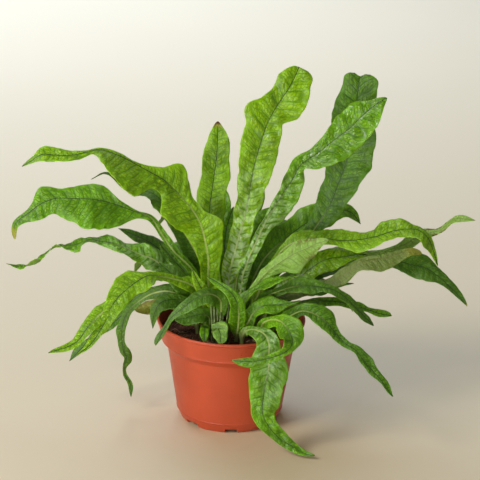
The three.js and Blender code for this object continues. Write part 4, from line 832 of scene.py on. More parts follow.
        through=((28, 40, 157), (49, 65, 188), (69, 90, 196), (89, 110, 184), (99, 122, 164)),
        face=((0, -1, 0.1), (0, -0.7, 0.7), (0.2, 0, 1), (0.4, 0.6, 0.7)),
        left=(2, 4, 8, 13, 16, 17, 15, 9, 1),
        right=(2, 4, 8, 13, 16, 17, 15, 9, 1),
    ),
    dict(
        name="frond_back_tall", tone="green", foot=(5, 33), wave=(2.5, 4, 0.5), fold=0.1,
        through=((10, 46, 160), (17, 62, 210), (24, 78, 255), (29, 94, 288), (32, 108, 304)),
        face=((0, -1, 0.1), (0, -1, 0.3), (0, -1, 0.4), (0, -0.6, 0.8)),
        left=(2, 4, 7, 10, 12, 13, 13, 12, 5),
        right=(2, 4, 7, 10, 12, 13, 13, 12, 5),
    ),
    dict(
        name="frond_left_inner", tone="dark", foot=(-31, -10), wave=(2, 3, 0.4), fold=0.1,
        through=((-39, -17, 140), (-52, -21, 160), (-67, -21, 174), (-80, -17, 184)),
        face=((0, -1, 0.1), (0, -0.8, 0.6)),
        left=(2, 4, 6, 10, 11, 9, 1),
        right=(2, 4, 6, 10, 11, 9, 1),
    ),
    dict(
        name="frond_back_upright", tone="green", foot=(-5, 32), wave=(2.5, 3, 0.5), fold=0.1,
        through=((-8, 49, 160), (-12, 66, 200), (-18, 82, 232), (-25, 96, 250)),
        face=((0, -1, 0.1), (0, -0.9, 0.3), (0, -0.7, 0.7)),
        left=(2, 3, 5, 7, 9, 12, 12, 10, 3),
        right=(2, 3, 5, 7, 9, 12, 12, 10, 3),
    ),
)


# Fronds seen from their paler underside, and those whose leaf is another green than their solid's.
SHOWS_UNDERSIDE = ("frond_right_pale", "frond_right_far", "frond_right_olive")
RETONED = {
    "frond_upright_centre": "young",
    "frond_upright_left": "young",
    "frond_front_folded": "green",
    "frond_front_hanging": "green",
    "frond_left_forked": "young",
    "frond_left_upper": "young",
    "frond_left_ruffled": "green",
    "frond_right_tall_back": "deep",
    "frond_right_hanging": "deep",
    "frond_right_far": "pale",
    "frond_right_behind": "green",
    "frond_centre_behind": "green",
    "frond_left_sprout": "young",
    "frond_right_yellow": "green",
    "frond_right_gloss": "young",
    "frond_right_bright": "young",
    "frond_back_blue": "green",
}
# Tips that have aged: name, the share of the length where it starts, how far it goes (0.6 yellow, 1 dry brown).
AGEING = {
    "frond_upright_left": (0.955, 0.9),
    "frond_left_broad": (0.93, 0.55),
    "frond_right_olive": (0.86, 0.4),
    "frond_left_sprout": (0.2, 0.12),
    "frond_front_folded": (0.975, 1.0),
    "frond_left_yellow": (0.3, 0.45),
    "frond_right_droop": (0.985, 0.9),
}

# Margins that dry in blotches: name, (where along the blade, how far either way, how much).
BROWNED = {
    "frond_right_far": (0.82, 0.07, 1.0),
    "frond_right_pale": (0.86, 0.09, 0.75),
    "frond_left_yellow": (0.8, 0.3, 0.5),
}

# Fronds young enough to shine, and how far: 1 is glossy, SATIN is every other frond. Their blades also bulge more,
# and their upper faces get a whitish painted sheen.
SATIN = 0.5
SHINY = {
    "frond_upright_centre": 1.0,
    "frond_right_tall": 0.95,
    "frond_right_gloss": 0.95,
    "frond_left_ruffled": 0.76,
    "frond_front_hanging": 0.75,
    "frond_right_ruffled": 0.8,
}

# Tips notched at the midrib: how far the blade stands past it on either side, in millimetres.
NOTCHED = {"frond_right_tall_back": 4.5, "frond_upright_centre": 1.0}

# Bare stalks of the crown: the foot's x and y, how far the stalk leans to the right, how high it reaches.
CROWN_STALKS = (
    (-20, -45, -2, 40), (-17.5, -49, -1, 42), (-14, -46, -2, 45), (-12, -50, 1, 41),
    (-9, -46, 0, 45), (-5.5, -49, 3, 42), (-3, -45, 2, 42),
)

# Foot notches of the pot: degrees from the front going round to the right, and their width in degrees.
FOOT_NOTCHES = ((-47, 19), (3, 14), (73, 19), (123, 14), (193, 19), (243, 14))
NOTCH_HEIGHT = 4.4
FOOT_INNER = 50.4
# Holes in the pot's floor: how many, the radius of the ring they lie on, and their own.
DRAIN_HOLES = 6
DRAIN_RING = 38
DRAIN_RADIUS = 5
# The peat's own radius at its surface, its faces round, and the rings of its surface.
SOIL_RADIUS = 77.2
SOIL_SIDES = 220
SOIL_RINGS = 52
# How far from the pot's axis crumbs lie, rootlets start, and rootlets turn back.
CRUMB_REACH = 75.5
ROOTLET_REACH = 71
ROOTLET_TURN = 74


def make_piece(name, points, faces, material, replaced=()):
    """A smooth-shaded piece from points in millimetres, riding on the fern's one body."""
    mesh = bpy.data.meshes.new(name)
    mesh.from_pydata((np.asarray(points) * MM).tolist(), [], faces)
    mesh.update()
    mesh.shade_smooth()
    mesh.materials.append(material)
    piece = bpy.data.objects.new(name, mesh)
    bpy.context.scene.collection.objects.link(piece)
    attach(piece, "root")
    if replaced:
        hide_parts(*replaced)
    return piece


def store(piece, name, values):
    """Keeps three numbers for each point of the piece, for its material."""
    layer = piece.data.attributes.new(name, "FLOAT_VECTOR", "POINT")
    layer.data.foreach_set("vector", np.ascontiguousarray(values, np.float32).ravel())


def eased(low, high, x):
    """A soft step from 0 where x is low to 1 where it is high."""
    t = np.clip((x - low) / (high - low), 0, 1)
    return t * t * (3 - 2 * t)


def follow(values, u):
    """The value at u of 0 to 1 of an evenly spaced list, on a curve that never overshoots its neighbours."""
    v = np.array(values, float)
    v = v.reshape(len(v), -1)
    step = np.diff(v, axis=0)
    slope = np.zeros_like(v)
    a, b = step[:-1], step[1:]
    same = a * b > 0
    slope[1:-1][same] = (2 * a * b)[same] / (a + b)[same]
    slope[0], slope[-1] = step[0], step[-1]
    x = np.clip(u, 0, 1) * (len(v) - 1)
    i = np.minimum(x.astype(int), len(v) - 2)
    t = (x - i)[:, None]
    out = (
        v[i] * (1 + 2 * t) * (1 - t) ** 2 + slope[i] * t * (1 - t) ** 2
        + v[i + 1] * t * t * (3 - 2 * t) - slope[i + 1] * t * t * (1 - t)
    )
    return out[:, 0] if out.shape[1] == 1 else out


def curve_through(points, steps=40):
    """Points on the centripetal spline through the given ones, from the second of them to the last."""
    p = [np.array(q, float) for q in points]
    p = [2 * p[0] - p[1], *p, 2 * p[-1] - p[-2]]
    t = np.linspace(0, 1, steps, endpoint=False)[:, None]
    line = []
    for p0, p1, p2, p3 in zip(p[1:], p[2:], p[3:], p[4:]):
        gaps = [math.sqrt(np.linalg.norm(b - a)) for a, b in ((p0, p1), (p1, p2), (p2, p3))]
        d1 = gaps[1] if gaps[1] > 1e-4 else 1.0
        d0, d2 = (g if g > 1e-4 else d1 for g in (gaps[0], gaps[2]))
        start = ((p1 - p0) / d0 - (p2 - p0) / (d0 + d1) + (p2 - p1) / d1) * d1
        end = ((p2 - p1) / d1 - (p3 - p1) / (d1 + d2) + (p3 - p2) / d2) * d1
        line.append(
            p1 * (1 + 2 * t) * (1 - t) ** 2 + start * t * (1 - t) ** 2
            + p2 * t * t * (3 - 2 * t) - end * t * t * (1 - t)
        )
    return np.vstack([*line, p[-2]])


def even_steps(line, grid):
    """The line again with points about `grid` apart, its small kinks eased, and the distance along it."""
    along = np.r_[0, np.cumsum(np.linalg.norm(np.diff(line, axis=0), axis=1))]
    count = max(8, round(along[-1] / grid)) + 1
    at = np.linspace(0, along[-1], count)
    out = np.column_stack([np.interp(at, along, line[:, k]) for k in range(3)])
    reach = max(1, round(5 / grid))
    weight = np.hanning(2 * reach + 3)[1:-1]
    padded = np.vstack([
        2 * out[0] - out[reach:0:-1], out, 2 * out[-1] - out[-2:-2 - reach:-1],
    ])
    out = np.column_stack([np.convolve(padded[:, k], weight / weight.sum(), "valid") for k in range(3)])
    return out, at


# Where the tip starts to round off, as a share of the length.
ROUND_TIP = 0.92
# Uneven bites of a margin: their length in millimetres and their depth as a share of the half width.
BITES = ((31, 0.016), (12.7, 0.011))
# Small waves of a margin: their length in millimetres and their share of the ruffle's height.
RIPPLES = ((17, 1.0), (8.3, 0.6))
# Length of one bulge between midrib and margin, in millimetres.
BULGE = 31


def face_frame(spine, face, u):
    """At each row the unit vectors along the midrib, out of the upper face, and to the right across the blade."""
    reach = max(1, round(0.015 * len(spine)))
    last = len(spine) - 1
    ahead = np.minimum(np.arange(last + 1) + reach, last)
    behind = np.maximum(np.arange(last + 1) - reach, 0)
    along = spine[ahead] - spine[behind]
    along /= np.linalg.norm(along, axis=1)[:, None]
    up = follow(face, u)
    up -= along * (up * along).sum(1)[:, None]
    up /= np.linalg.norm(up, axis=1)[:, None]
    return along, up, np.cross(along, up)


def margins(spec, y, u, tip, free, phase):
    """Both margins, left and right, as (half widths, large waves, small waves), each at every row.

    The half widths are the table's, with broad lobes, the rounded tip and small uneven bites.
    """
    _, waves, lag = spec["wave"]
    halves, big, small = [], [], []
    for k, (values, wave_lag, lobe_lag) in enumerate(((spec["left"], 0, 0), (spec["right"], 0.37, 0.45))):
        lobe = 1 + 0.08 * np.sin(TAU * (1.35 * waves * u - lag + lobe_lag))
        bite = sum(depth * np.sin(TAU * y / long + phase[k + 2 * i]) for i, (long, depth) in enumerate(BITES))
        halves.append(tip * lobe * (1 + free * bite) * follow(values, u))
        big.append(np.sin(TAU * (waves * u + lag + wave_lag)))
        small.append(sum(
            part * np.sin(TAU * y / long + phase[k + 4 + 2 * i]) for i, (long, part) in enumerate(RIPPLES)
        ))
    return halves, big, small


def vein_field(look, widest, y, away, left, phase):
    """The net of veins, as (turns of the side veins, meshes outwards, relief in millimetres).

    Side veins leave the midrib forwards, and the net's meshes step out between them. A narrow frond has them
    closer. y is millimetres along the blade as a column, away is millimetres from the midrib.
    """
    spacing = look.vein_spacing / MM * float(np.clip(widest / 20, 0.62, 1))
    mesh = look.mesh / MM * float(np.clip(widest / 20, 0.75, 1))
    vein = (y - 0.42 * away - 0.006 * away**2) / spacing + 0.13 * np.sin(0.13 * y + phase[0])
    vein = vein + 0.035 * np.sin(0.38 * away + 0.11 * y + phase[1])
    outward = away / mesh + np.zeros_like(y)
    turn = vein + np.where(left, 0, 0.5)[None, :]
    gap = np.floor(turn) + np.where(left, 0, 40)[None, :]
    swell = np.abs(np.sin(math.pi * turn)) ** 0.7 * (0.75 + 0.45 * np.sin(5.3 * gap + phase[2]))
    cell = np.sin(TAU * (0.8 * outward + 0.35 * np.sin(2.4 * np.floor(turn)))) * np.sin(math.pi * turn) ** 2
    return vein, outward, look.quilt / MM * (swell - 0.55) + look.cell / MM * cell


def closed_strip(rows, across):
    """Quads of an upper and a lower sheet of rows by across points each, closed round their edge."""
    n = rows * across
    i, j = np.mgrid[0:rows - 1, 0:across - 1]
    a = (i * across + j).ravel()
    upper = np.column_stack([a, a + 1, a + across + 1, a + across])
    left = np.arange(rows - 1) * across
    right = left + across - 1
    foot = np.arange(across - 1)
    tip = foot + (rows - 1) * across
    return np.concatenate([
        upper,
        n + upper[:, ::-1],
        np.column_stack([right, n + right, n + right + across, right + across]),
        np.column_stack([n + left, left, left + across, n + left + across]),
        np.column_stack([foot + 1, foot, n + foot, n + foot + 1]),
        np.column_stack([tip, tip + 1, n + tip + 1, n + tip]),
    ])


def blade_strip(spec, line, stem, look, seed, underside):
    """Upper and lower points of one blade with what its material needs, as (points, quads, blade, net, place).

    The line runs up the stem for `stem` millimetres and then along the blade. Rows lie across it; a row runs
    from the left margin over the midrib to the right margin, seen from the upper face with the tip up.
    """
    name = spec.get("name")
    grid = look.grid / MM
    spine, at = even_steps(line, grid)
    y = at - stem
    u = np.clip(y / (at[-1] - stem), 0, 1)
    phase = np.random.default_rng(seed).random(8) * TAU
    along, up, right = face_frame(spine, spec["face"], u)
    tip = np.maximum(0.05, np.sqrt(1 - np.clip((u - ROUND_TIP) / (1 - ROUND_TIP), 0, 1) ** 2))
    free = eased(0, 0.12, u) if stem else np.ones_like(u)
    halves, big, small = margins(spec, y, u, tip, free, phase)

    # Columns of the grid lie closer together near the midrib, where the rib is.
    widest = max(h.max() for h in halves)
    t = np.linspace(-1, 1, 2 * max(3, round(widest * 1.04 / grid)) + 1)
    s = t * (0.75 + 0.25 * np.abs(t))
    left = s < 0
    half, big, small = (np.where(left[None, :], pair[0][:, None], pair[1][:, None]) for pair in (halves, big, small))
    x = s[None, :] * half
    away = np.abs(x)
    edge = np.abs(s)[None, :]
    y, u, free, tip = (row[:, None] for row in (y, u, free, tip))

    # The blade folds up from its midrib, waves towards its margins, and bulges between, on each side elsewhere.
    height, _, _ = spec["wave"]
    wide = np.minimum(1, half / 12)
    lift = free * (
        spec["fold"] * half * edge + height * wide * s**2 * big
        + look.ruffle / MM * wide * edge**4 * small * 0.7 + 0.045 * half * np.sin(math.pi * edge)
    )
    lag = np.where(left, phase[0], phase[1])[None, :]
    bulge = np.sin(TAU * y / BULGE + lag + 1.4 * np.sin(y / 17 + phase[2]))
    depth = look.buckle / MM * (1.6 if name in SHINY else 0.8)
    lift = lift + depth * free * wide * np.sin(math.pi * edge) ** 2 * bulge
    vein, outward, relief = vein_field(look, widest, y, away, left, phase)
    calm = eased(0.4, 2.6, away) * (1 - eased(0.78, 1, edge)) * free * (1 - eased(0.96, 1, u))
    notch = NOTCHED.get(name, 0) * eased(0.9, 1, u) * eased(1.5, 6, away)
    middle = spine[:, None] + right[:, None] * x[..., None] + up[:, None] * (lift + calm * relief)[..., None]
    middle = middle + along[:, None] * notch[..., None]

    # Thickness: a round stem that flattens into the blade, thin at the margin, with the rib on the underside.
    flat = eased(0.02, 0.14, u) if stem else np.ones_like(u)
    round_stem = 2.1 * np.sqrt(1 - 0.98 * edge**2) + 0.1
    thick = flat * (0.75 - 0.4 * edge) + (1 - flat) * round_stem
    rib = 0.9 * flat * (1 - 0.75 * u) * np.exp(-((x / 1.15) ** 2)) * tip
    brow = 0.35 * flat * eased(0.75, 0.2, u) * np.exp(-((x / 0.8) ** 2))
    over, below = (rib, brow) if underside else (brow, rib)
    upper = middle + up[:, None] * (thick / 2 + over)[..., None]
    lower = middle - up[:, None] * (thick / 2 + below)[..., None]

    # For the material: each blade has its own stretch of the patterns, 97 mm on from the one before.
    blank = np.zeros_like(x)
    shine = SHINY.get(name, SATIN) * (-1 if underside else 1)
    start, most = AGEING.get(name, (1, 0))
    age = most * eased(start, min(1, start + 0.5 * (1 - start) + 0.02), u)
    at_u, reach_u, most_brown = BROWNED.get(name, (0, 1, 0))
    browned = most_brown * np.exp(-((u - at_u) / reach_u) ** 2) * eased(0.35, 0.9, edge)
    offset = y + 97 * (seed % 41) + blank
    upper_blade, lower_blade = (np.stack([x, offset, blank + side], -1) for side in (shine, -shine))
    net = np.stack([vein, outward, browned], -1)
    place = np.stack([u + blank, edge + blank, age + blank], -1)
    return (
        np.concatenate([upper.reshape(-1, 3), lower.reshape(-1, 3)]),
        closed_strip(*x.shape),
        np.concatenate([upper_blade.reshape(-1, 3), lower_blade.reshape(-1, 3)]),
        np.concatenate([net.reshape(-1, 3)] * 2),
        np.concatenate([place.reshape(-1, 3)] * 2),
    )


def pot_plastic(settings):
    """Polypropylene, injection moulded with a fine satin grain.

    The eye sees an even terracotta orange with broad soft highlights, specks of dried peat below the rim, and
    a little pale dust round the foot.
    """
    material, tree = new_material("polypropylene_moulded_terracotta")
    tone = settings.plastic
    place = add(tree, "TexCoord").outputs["Object"]
    height = add(tree, "SeparateXYZ", {0: place}).outputs["Z"]
    cloud = add(tree, "TexNoise", {"Vector": place, "Scale": 1 / (45.5 * MM), "Detail": 3.0})
    base = add(tree, "Mix", {
        0: add(tree, "MapRange", {0: cloud, 1: 0.35, 2: 0.65}, **SOFT),
        6: rgba(tone, 0.94),
        7: rgba(tone, 1.06),
    }, data_type="RGBA")
    # Specks of peat that dried on: about 0.7 mm, at most one in 3.8 mm, thick near the rim and rare below.
    speck = add(tree, "TexVoronoi", {"Vector": place, "Scale": 1 / (3.85 * MM), "Randomness": 1.0})
    where = add(tree, "TexNoise", {"Vector": place, "Scale": 1 / (16.7 * MM), "Detail": 3.0})
    dirt = add(tree, "MapRange", {0: height, 1: 78 * MM, 2: 114 * MM}, **SOFT)
    for value, none, full in ((speck, 0.22, 0.1), (where, 0.54, 0.66)):
        dirt = add(tree, "Math", {
            0: dirt,
            1: add(tree, "MapRange", {0: value, 1: none, 2: full}, **SOFT),
        }, operation="MULTIPLY")
    base = add(tree, "Mix", {
        0: add(tree, "Math", {0: dirt, 1: 0.7}, operation="MULTIPLY"),
        6: base,
        7: rgba(linear("#302419")),
    }, data_type="RGBA")
    dust = add(tree, "Math", {
        0: add(tree, "MapRange", {0: cloud, 1: 0.5, 2: 0.8}, **SOFT),
        1: add(tree, "MapRange", {0: height, 1: 20 * MM, 2: 0.0}, **SOFT),
    }, operation="MULTIPLY")
    base = add(tree, "Mix", {
        0: add(tree, "Math", {0: dust, 1: 0.25}, operation="MULTIPLY"),
        6: base,
        7: rgba(linear("#C4AD9B")),
    }, data_type="RGBA")
    handled = add(tree, "TexNoise", {"Vector": place, "Scale": 1 / (11.1 * MM), "Detail": 2.0})
    rough = add(tree, "Math", {
        0: add(tree, "MapRange", {0: handled, 1: 0.3, 2: 0.7, 3: 0.4, 4: 0.5}, **SOFT),
        1: add(tree, "Math", {0: dirt, 1: 0.4}, operation="MULTIPLY"),
    }, operation="ADD")
    # The satin grain is about 0.3 mm and is drawn at 1 mm, or it would not show.
    grain = add(tree, "Math", {
        0: add(tree, "TexNoise", {"Vector": place, "Scale": 1 / (1 * MM), "Detail": 1.0}),
        1: add(tree, "Math", {0: dirt, 1: 3.0}, operation="MULTIPLY"),
    }, operation="ADD")
    add(tree, "OutputMaterial", {"Surface": add(tree, "BsdfPrincipled", {
        "Base Color": base,
        "Roughness": rough,
        "IOR": 1.49,
        "Normal": add(tree, "Bump", {"Height": grain, "Distance": 0.06 * MM, "Strength": 0.6}),
    })})
    return material


def peat_mix(settings):
    """Peat and bark compost, damp and loose.

    The eye sees nearly black crumbs with browner dry ones between them, dull all over, with small hollows.
    """
    material, tree = new_material("peat_and_bark_compost")
    place = add(tree, "TexCoord").outputs["Object"]
    tint = add(tree, "Attribute", attribute_name="tint").outputs["Fac"]
    # Crumbs of 1.9 mm, damp patches of 9 mm, and in each crumb grains of 1.1 mm.
    crumb = add(tree, "TexVoronoi", {"Vector": place, "Scale": 1 / (1.92 * MM), "Randomness": 1.0})
    wet = add(tree, "TexNoise", {"Vector": place, "Scale": 1 / (9.1 * MM), "Detail": 4.0})
    base = add(tree, "Mix", {
        0: add(tree, "MapRange", {0: wet, 1: 0.35, 2: 0.7}, **SOFT),
        6: rgba(settings.peat, 0.55),
        7: rgba(settings.peat, 1.5),
    }, data_type="RGBA")
    one = add(tree, "SeparateXYZ", {0: crumb.outputs["Color"]})
    base = add(tree, "Mix", {
        0: add(tree, "Math", {
            0: add(tree, "MapRange", {0: one, 1: 0.86, 2: 0.95}, **SOFT),
            1: 0.5,
        }, operation="MULTIPLY"),
        6: base,
        7: rgba(settings.bark),
    }, data_type="RGBA")
    base = add(tree, "Mix", {0: tint, 6: base, 7: rgba(settings.bark)}, data_type="RGBA")
    fine = add(tree, "TexNoise", {"Vector": place, "Scale": 1 / (1.11 * MM), "Detail": 3.0})
    height = add(tree, "Math", {0: crumb, 1: -1.0, 2: fine}, operation="MULTIPLY_ADD")
    add(tree, "OutputMaterial", {"Surface": add(tree, "BsdfPrincipled", {
        "Base Color": base,
        "Roughness": 0.9,
        "IOR": 1.4,
        "Normal": add(tree, "Bump", {"Height": height, "Distance": 0.8 * MM, "Strength": 0.9}),
    })})
    return material


def wood_fibre(settings):
    """Rootlets and wood fibres, dry and unbleached.

    The eye sees thin pale threads, browner in patches, with a dull stringy surface.
    """
    material, tree = new_material("rootlets_and_wood_fibre")
    place = add(tree, "TexCoord").outputs["Object"]
    patch = add(tree, "TexNoise", {"Vector": place, "Scale": 1 / (7.7 * MM), "Detail": 2.0})
    base = add(tree, "Mix", {
        0: add(tree, "MapRange", {0: patch, 1: 0.35, 2: 0.65}, **SOFT),
        6: rgba(settings.fibre, 0.45),
        7: rgba(settings.fibre, 1.1),
    }, data_type="RGBA")
    # Strings of 0.1 mm, drawn at 0.67 mm, or they would not show.
    string = add(tree, "TexNoise", {"Vector": place, "Scale": 1 / (0.67 * MM), "Detail": 1.0})
    add(tree, "OutputMaterial", {"Surface": add(tree, "BsdfPrincipled", {
        "Base Color": base,
        "Roughness": 0.75,
        "Normal": add(tree, "Bump", {"Height": string, "Distance": 0.1 * MM, "Strength": 0.6}),
    })})
    return material


def stalk_skin(settings):
    """Skin of a living fern stalk. The eye sees a pale green stem, browner in patches, with a dull sheen."""
    material, tree = new_material("fern_stalk_grown")
    place = add(tree, "TexCoord").outputs["Object"]
    height = add(tree, "SeparateXYZ", {0: place}).outputs["Z"]
    patch = add(tree, "TexNoise", {"Vector": place, "Scale": 1 / (7.1 * MM), "Detail": 3.0})
    base = add(tree, "Mix", {
        0: add(tree, "MapRange", {0: patch, 1: 0.35, 2: 0.65}, **SOFT),
        6: rgba(settings.stem, 0.55),
        7: rgba(settings.stem, 1.15),
    }, data_type="RGBA")
    # The foot of the stalk is brown, from 8 mm over the peat down.
    base = add(tree, "Mix", {
        0: add(tree, "MapRange", {0: height, 1: 112 * MM, 2: 102 * MM}, **SOFT),
        6: base,
        7: rgba(linear("#4B3C27")),
    }, data_type="RGBA")
    # Its skin is ribbed every 0.5 mm and is drawn at 2 mm, or it would not show.
    groove = add(tree, "TexNoise", {"Vector": place, "Scale": 1 / (2 * MM), "Detail": 2.0})
    add(tree, "OutputMaterial", {"Surface": add(tree, "BsdfPrincipled", {
        "Base Color": base,
        "Roughness": 0.42,
        "IOR": 1.45,
        "Normal": add(tree, "Bump", {"Height": groove, "Distance": 0.3 * MM, "Strength": 0.6}),
    })})
    return material


def studio_floor(settings):
    """Painted board, rolled matt. The eye sees one even pale tone with the faintest mottling."""
    material, tree = new_material("painted_board_rolled_matt")
    place = add(tree, "TexCoord").outputs["Object"]
    cloud = add(tree, "TexNoise", {"Vector": place, "Scale": 1 / (625 * MM), "Detail": 2.0})
    base = add(tree, "Mix", {
        0: add(tree, "MapRange", {0: cloud, 1: 0.3, 2: 0.7}, **SOFT),
        6: rgba(settings.floor, 0.985),
        7: rgba(settings.floor, 1.0),
    }, data_type="RGBA")
    add(tree, "OutputMaterial", {"Surface": add(tree, "BsdfPrincipled", {"Base Color": base, "Roughness": 0.85})})
    return material


def add_floor_and_room(scene, s):
    """The pale floor, far larger than the view, and an even light from all round."""
    far = 14
    mesh = bpy.data.meshes.new("studio_floor")
    mesh.from_pydata([(-far, -far, 0), (far, -far, 0), (far, far, 0), (-far, far, 0)], [], [(0, 1, 2, 3)])
    mesh.materials.append(studio_floor(s))
    floor = bpy.data.objects.new("studio_floor", mesh)
    scene.collection.objects.link(floor)

    world = bpy.data.worlds.new("studio_room")
    world.use_nodes = True
    background = world.node_tree.nodes["Background"]
    background.inputs["Color"].default_value = (1.0, 0.985, 0.94, 1)
    background.inputs["Strength"].default_value = s.sky
    scene.world = world
    return floor


def add_lights(scene, s, target, floor):
    """The soft lights: each with its place, watts, width and height, colour, and the point it is turned to."""
    for name, place, watts, size, tint, aim in (
        ("key_light", (-1.9, -1.4, 2.0), s.key, (1.0, 1.0), (1.0, 0.98, 0.95), target),
        ("front_light", (-0.85, -2.6, 0.56), s.front, (1.4, 1.05), (1.0, 1.0, 1.0), target),
        ("reflector", (-0.42, -0.85, 0.02), s.bounce, (0.9, 0.6), (1.0, 1.0, 1.0), Vector((-0.1, -0.3, 0.62))),
        ("fill_light", (1.9, -1.4, 0.9), s.fill, (1.6, 1.6), (0.96, 0.98, 1.0), target),
        ("back_light", (0.3, 1.6, 2.4), s.back, (1.8, 1.8), (1.0, 1.0, 1.0), target),
        ("background_light", (-1.3, 3.0, 2.7), s.far, (3.0, 3.0), (0.53, 0.67, 1.0), Vector((-1.2, 3.7, 0))),
    ):
        data = bpy.data.lights.new(name, "AREA")
        data.energy, data.color, data.shape = watts, tint, "RECTANGLE"
        data.size, data.size_y = size
        light = bpy.data.objects.new(name, data)
        light.location = place
        light.rotation_euler = (aim - light.location).to_track_quat("-Z", "Y").to_euler()
        scene.collection.objects.link(light)
    # The last one, on the floor behind, is flagged off from the fern.
    lit = bpy.data.collections.new("lit_by_background_light")
    lit.objects.link(floor)
    light.light_linking.receiver_collection = lit


def add_camera(scene, s, target):
    """The camera, level but for its small lean, looking down at the target."""
    ahead = Vector((0, math.cos(s.elevation), -math.sin(s.elevation)))
    level, above = Vector((1, 0, 0)), Vector((0, math.sin(s.elevation), math.cos(s.elevation)))
    right = level * math.cos(s.roll) + above * math.sin(s.roll)
    up = above * math.cos(s.roll) - level * math.sin(s.roll)
    data = bpy.data.cameras.new("photo_camera")
    data.lens, data.clip_start, data.clip_end = s.lens, 0.05, 60
    camera = bpy.data.objects.new("photo_camera", data)
    turn = Matrix((right, up, -ahead)).transposed().to_4x4()
    camera.matrix_world = Matrix.Translation(target - ahead * s.distance) @ turn
    scene.collection.objects.link(camera)
    bpy.context.scene.camera = camera


class FERN_OT_studio(bpy.types.Operator):
    """Makes the pale floor, the soft lights and the camera"""

    bl_idname = "fern.studio"
    bl_label = "Studio"

    def execute(self, context):
        scene = context.scene
        s = scene.fern_studio
        scene.view_settings.view_transform = "Standard"
        floor = add_floor_and_room(scene, s)
        target = Vector(s.target)
        add_lights(scene, s, target, floor)
        add_camera(scene, s, target)
        return {"FINISHED"}


def softened(profile, most, steps=5):
    """The profile with each corner rounded by a short curve no longer than `most` on either side."""
    out = [profile[0]]
    for before, corner, after in zip(profile, profile[1:], profile[2:]):
        b, c, a = (np.array(p, float) for p in (before, corner, after))
        back, on = b - c, a - c
        reach = min(most, 0.42 * np.linalg.norm(back), 0.42 * np.linalg.norm(on))
        start = c + back / np.linalg.norm(back) * reach
        end = c + on / np.linalg.norm(on) * reach
        for k in range(steps):
            t = k / (steps - 1)
            out.append(tuple(start * (1 - t) ** 2 + 2 * c * t * (1 - t) + end * t * t))
    return [*out, profile[-1]]


def turned(profile, angles):
    """Points and faces of a solid of revolution. The profile starts and ends on the axis."""
    inner = np.array(profile[1:-1], float)
    ring = np.column_stack([np.cos(angles), np.sin(angles)])
    points = [(0, 0, profile[0][1])]
    for r, z in inner:
        points += [(r * c, r * s, z) for c, s in ring]
    points.append((0, 0, profile[-1][1]))
    n = len(angles)
    faces = []
    for i in range(n):
        k = (i + 1) % n
        faces.append((0, 1 + k, 1 + i))
        for row in range(len(inner) - 1):
            a, b = 1 + row * n, 1 + (row + 1) * n
            faces.append((a + i, a + k, b + k, b + i))
        a = 1 + (len(inner) - 1) * n
        faces.append((a + i, a + k, len(points) - 1))
    return np.array(points, float), faces


def lift_notches(points):
    """Lifts the pot's foot between the two ends of each notch."""
    around = np.degrees(np.arctan2(points[:, 1], points[:, 0])) + 90
    raised = np.zeros(len(points))
    for angle, width in FOOT_NOTCHES:
        off = np.abs((around - angle + 180) % 360 - 180)
        raised = np.maximum(raised, NOTCH_HEIGHT * (off < width / 2))
    foot = (np.hypot(points[:, 0], points[:, 1]) > FOOT_INNER) & (points[:, 2] < NOTCH_HEIGHT)
    points[:, 2] = np.where(foot, np.maximum(points[:, 2], raised), points[:, 2])


def bore_drain_holes(context, pot):
    """Bores the drain holes through the pot's floor."""
    holes = bmesh.new()
    for k in range(DRAIN_HOLES):
        a = (k + 0.5) * TAU / DRAIN_HOLES
        centre = Matrix.Translation((DRAIN_RING * MM * math.cos(a), DRAIN_RING * MM * math.sin(a), 4 * MM))
        bmesh.ops.create_cone(
            holes, cap_ends=True, segments=32, radius1=DRAIN_RADIUS * MM, radius2=DRAIN_RADIUS * MM,
            depth=10 * MM, matrix=centre,
        )
    cutter_mesh = bpy.data.meshes.new("drain_holes")
    holes.to_mesh(cutter_mesh)
    holes.free()
    cutter = bpy.data.objects.new("drain_holes", cutter_mesh)
    context.scene.collection.objects.link(cutter)
    bore = pot.modifiers.new("drain_holes", "BOOLEAN")
    bore.operation, bore.object, bore.solver = "DIFFERENCE", cutter, "EXACT"
    context.view_layer.update()
    bored = bpy.data.meshes.new_from_object(pot.evaluated_get(context.evaluated_depsgraph_get()))
    pot.modifiers.clear()
    pot.data = bored
    bpy.data.objects.remove(cutter)
    if len(bored.polygons) < 1000:
        raise RuntimeError("the drain holes could not be bored")


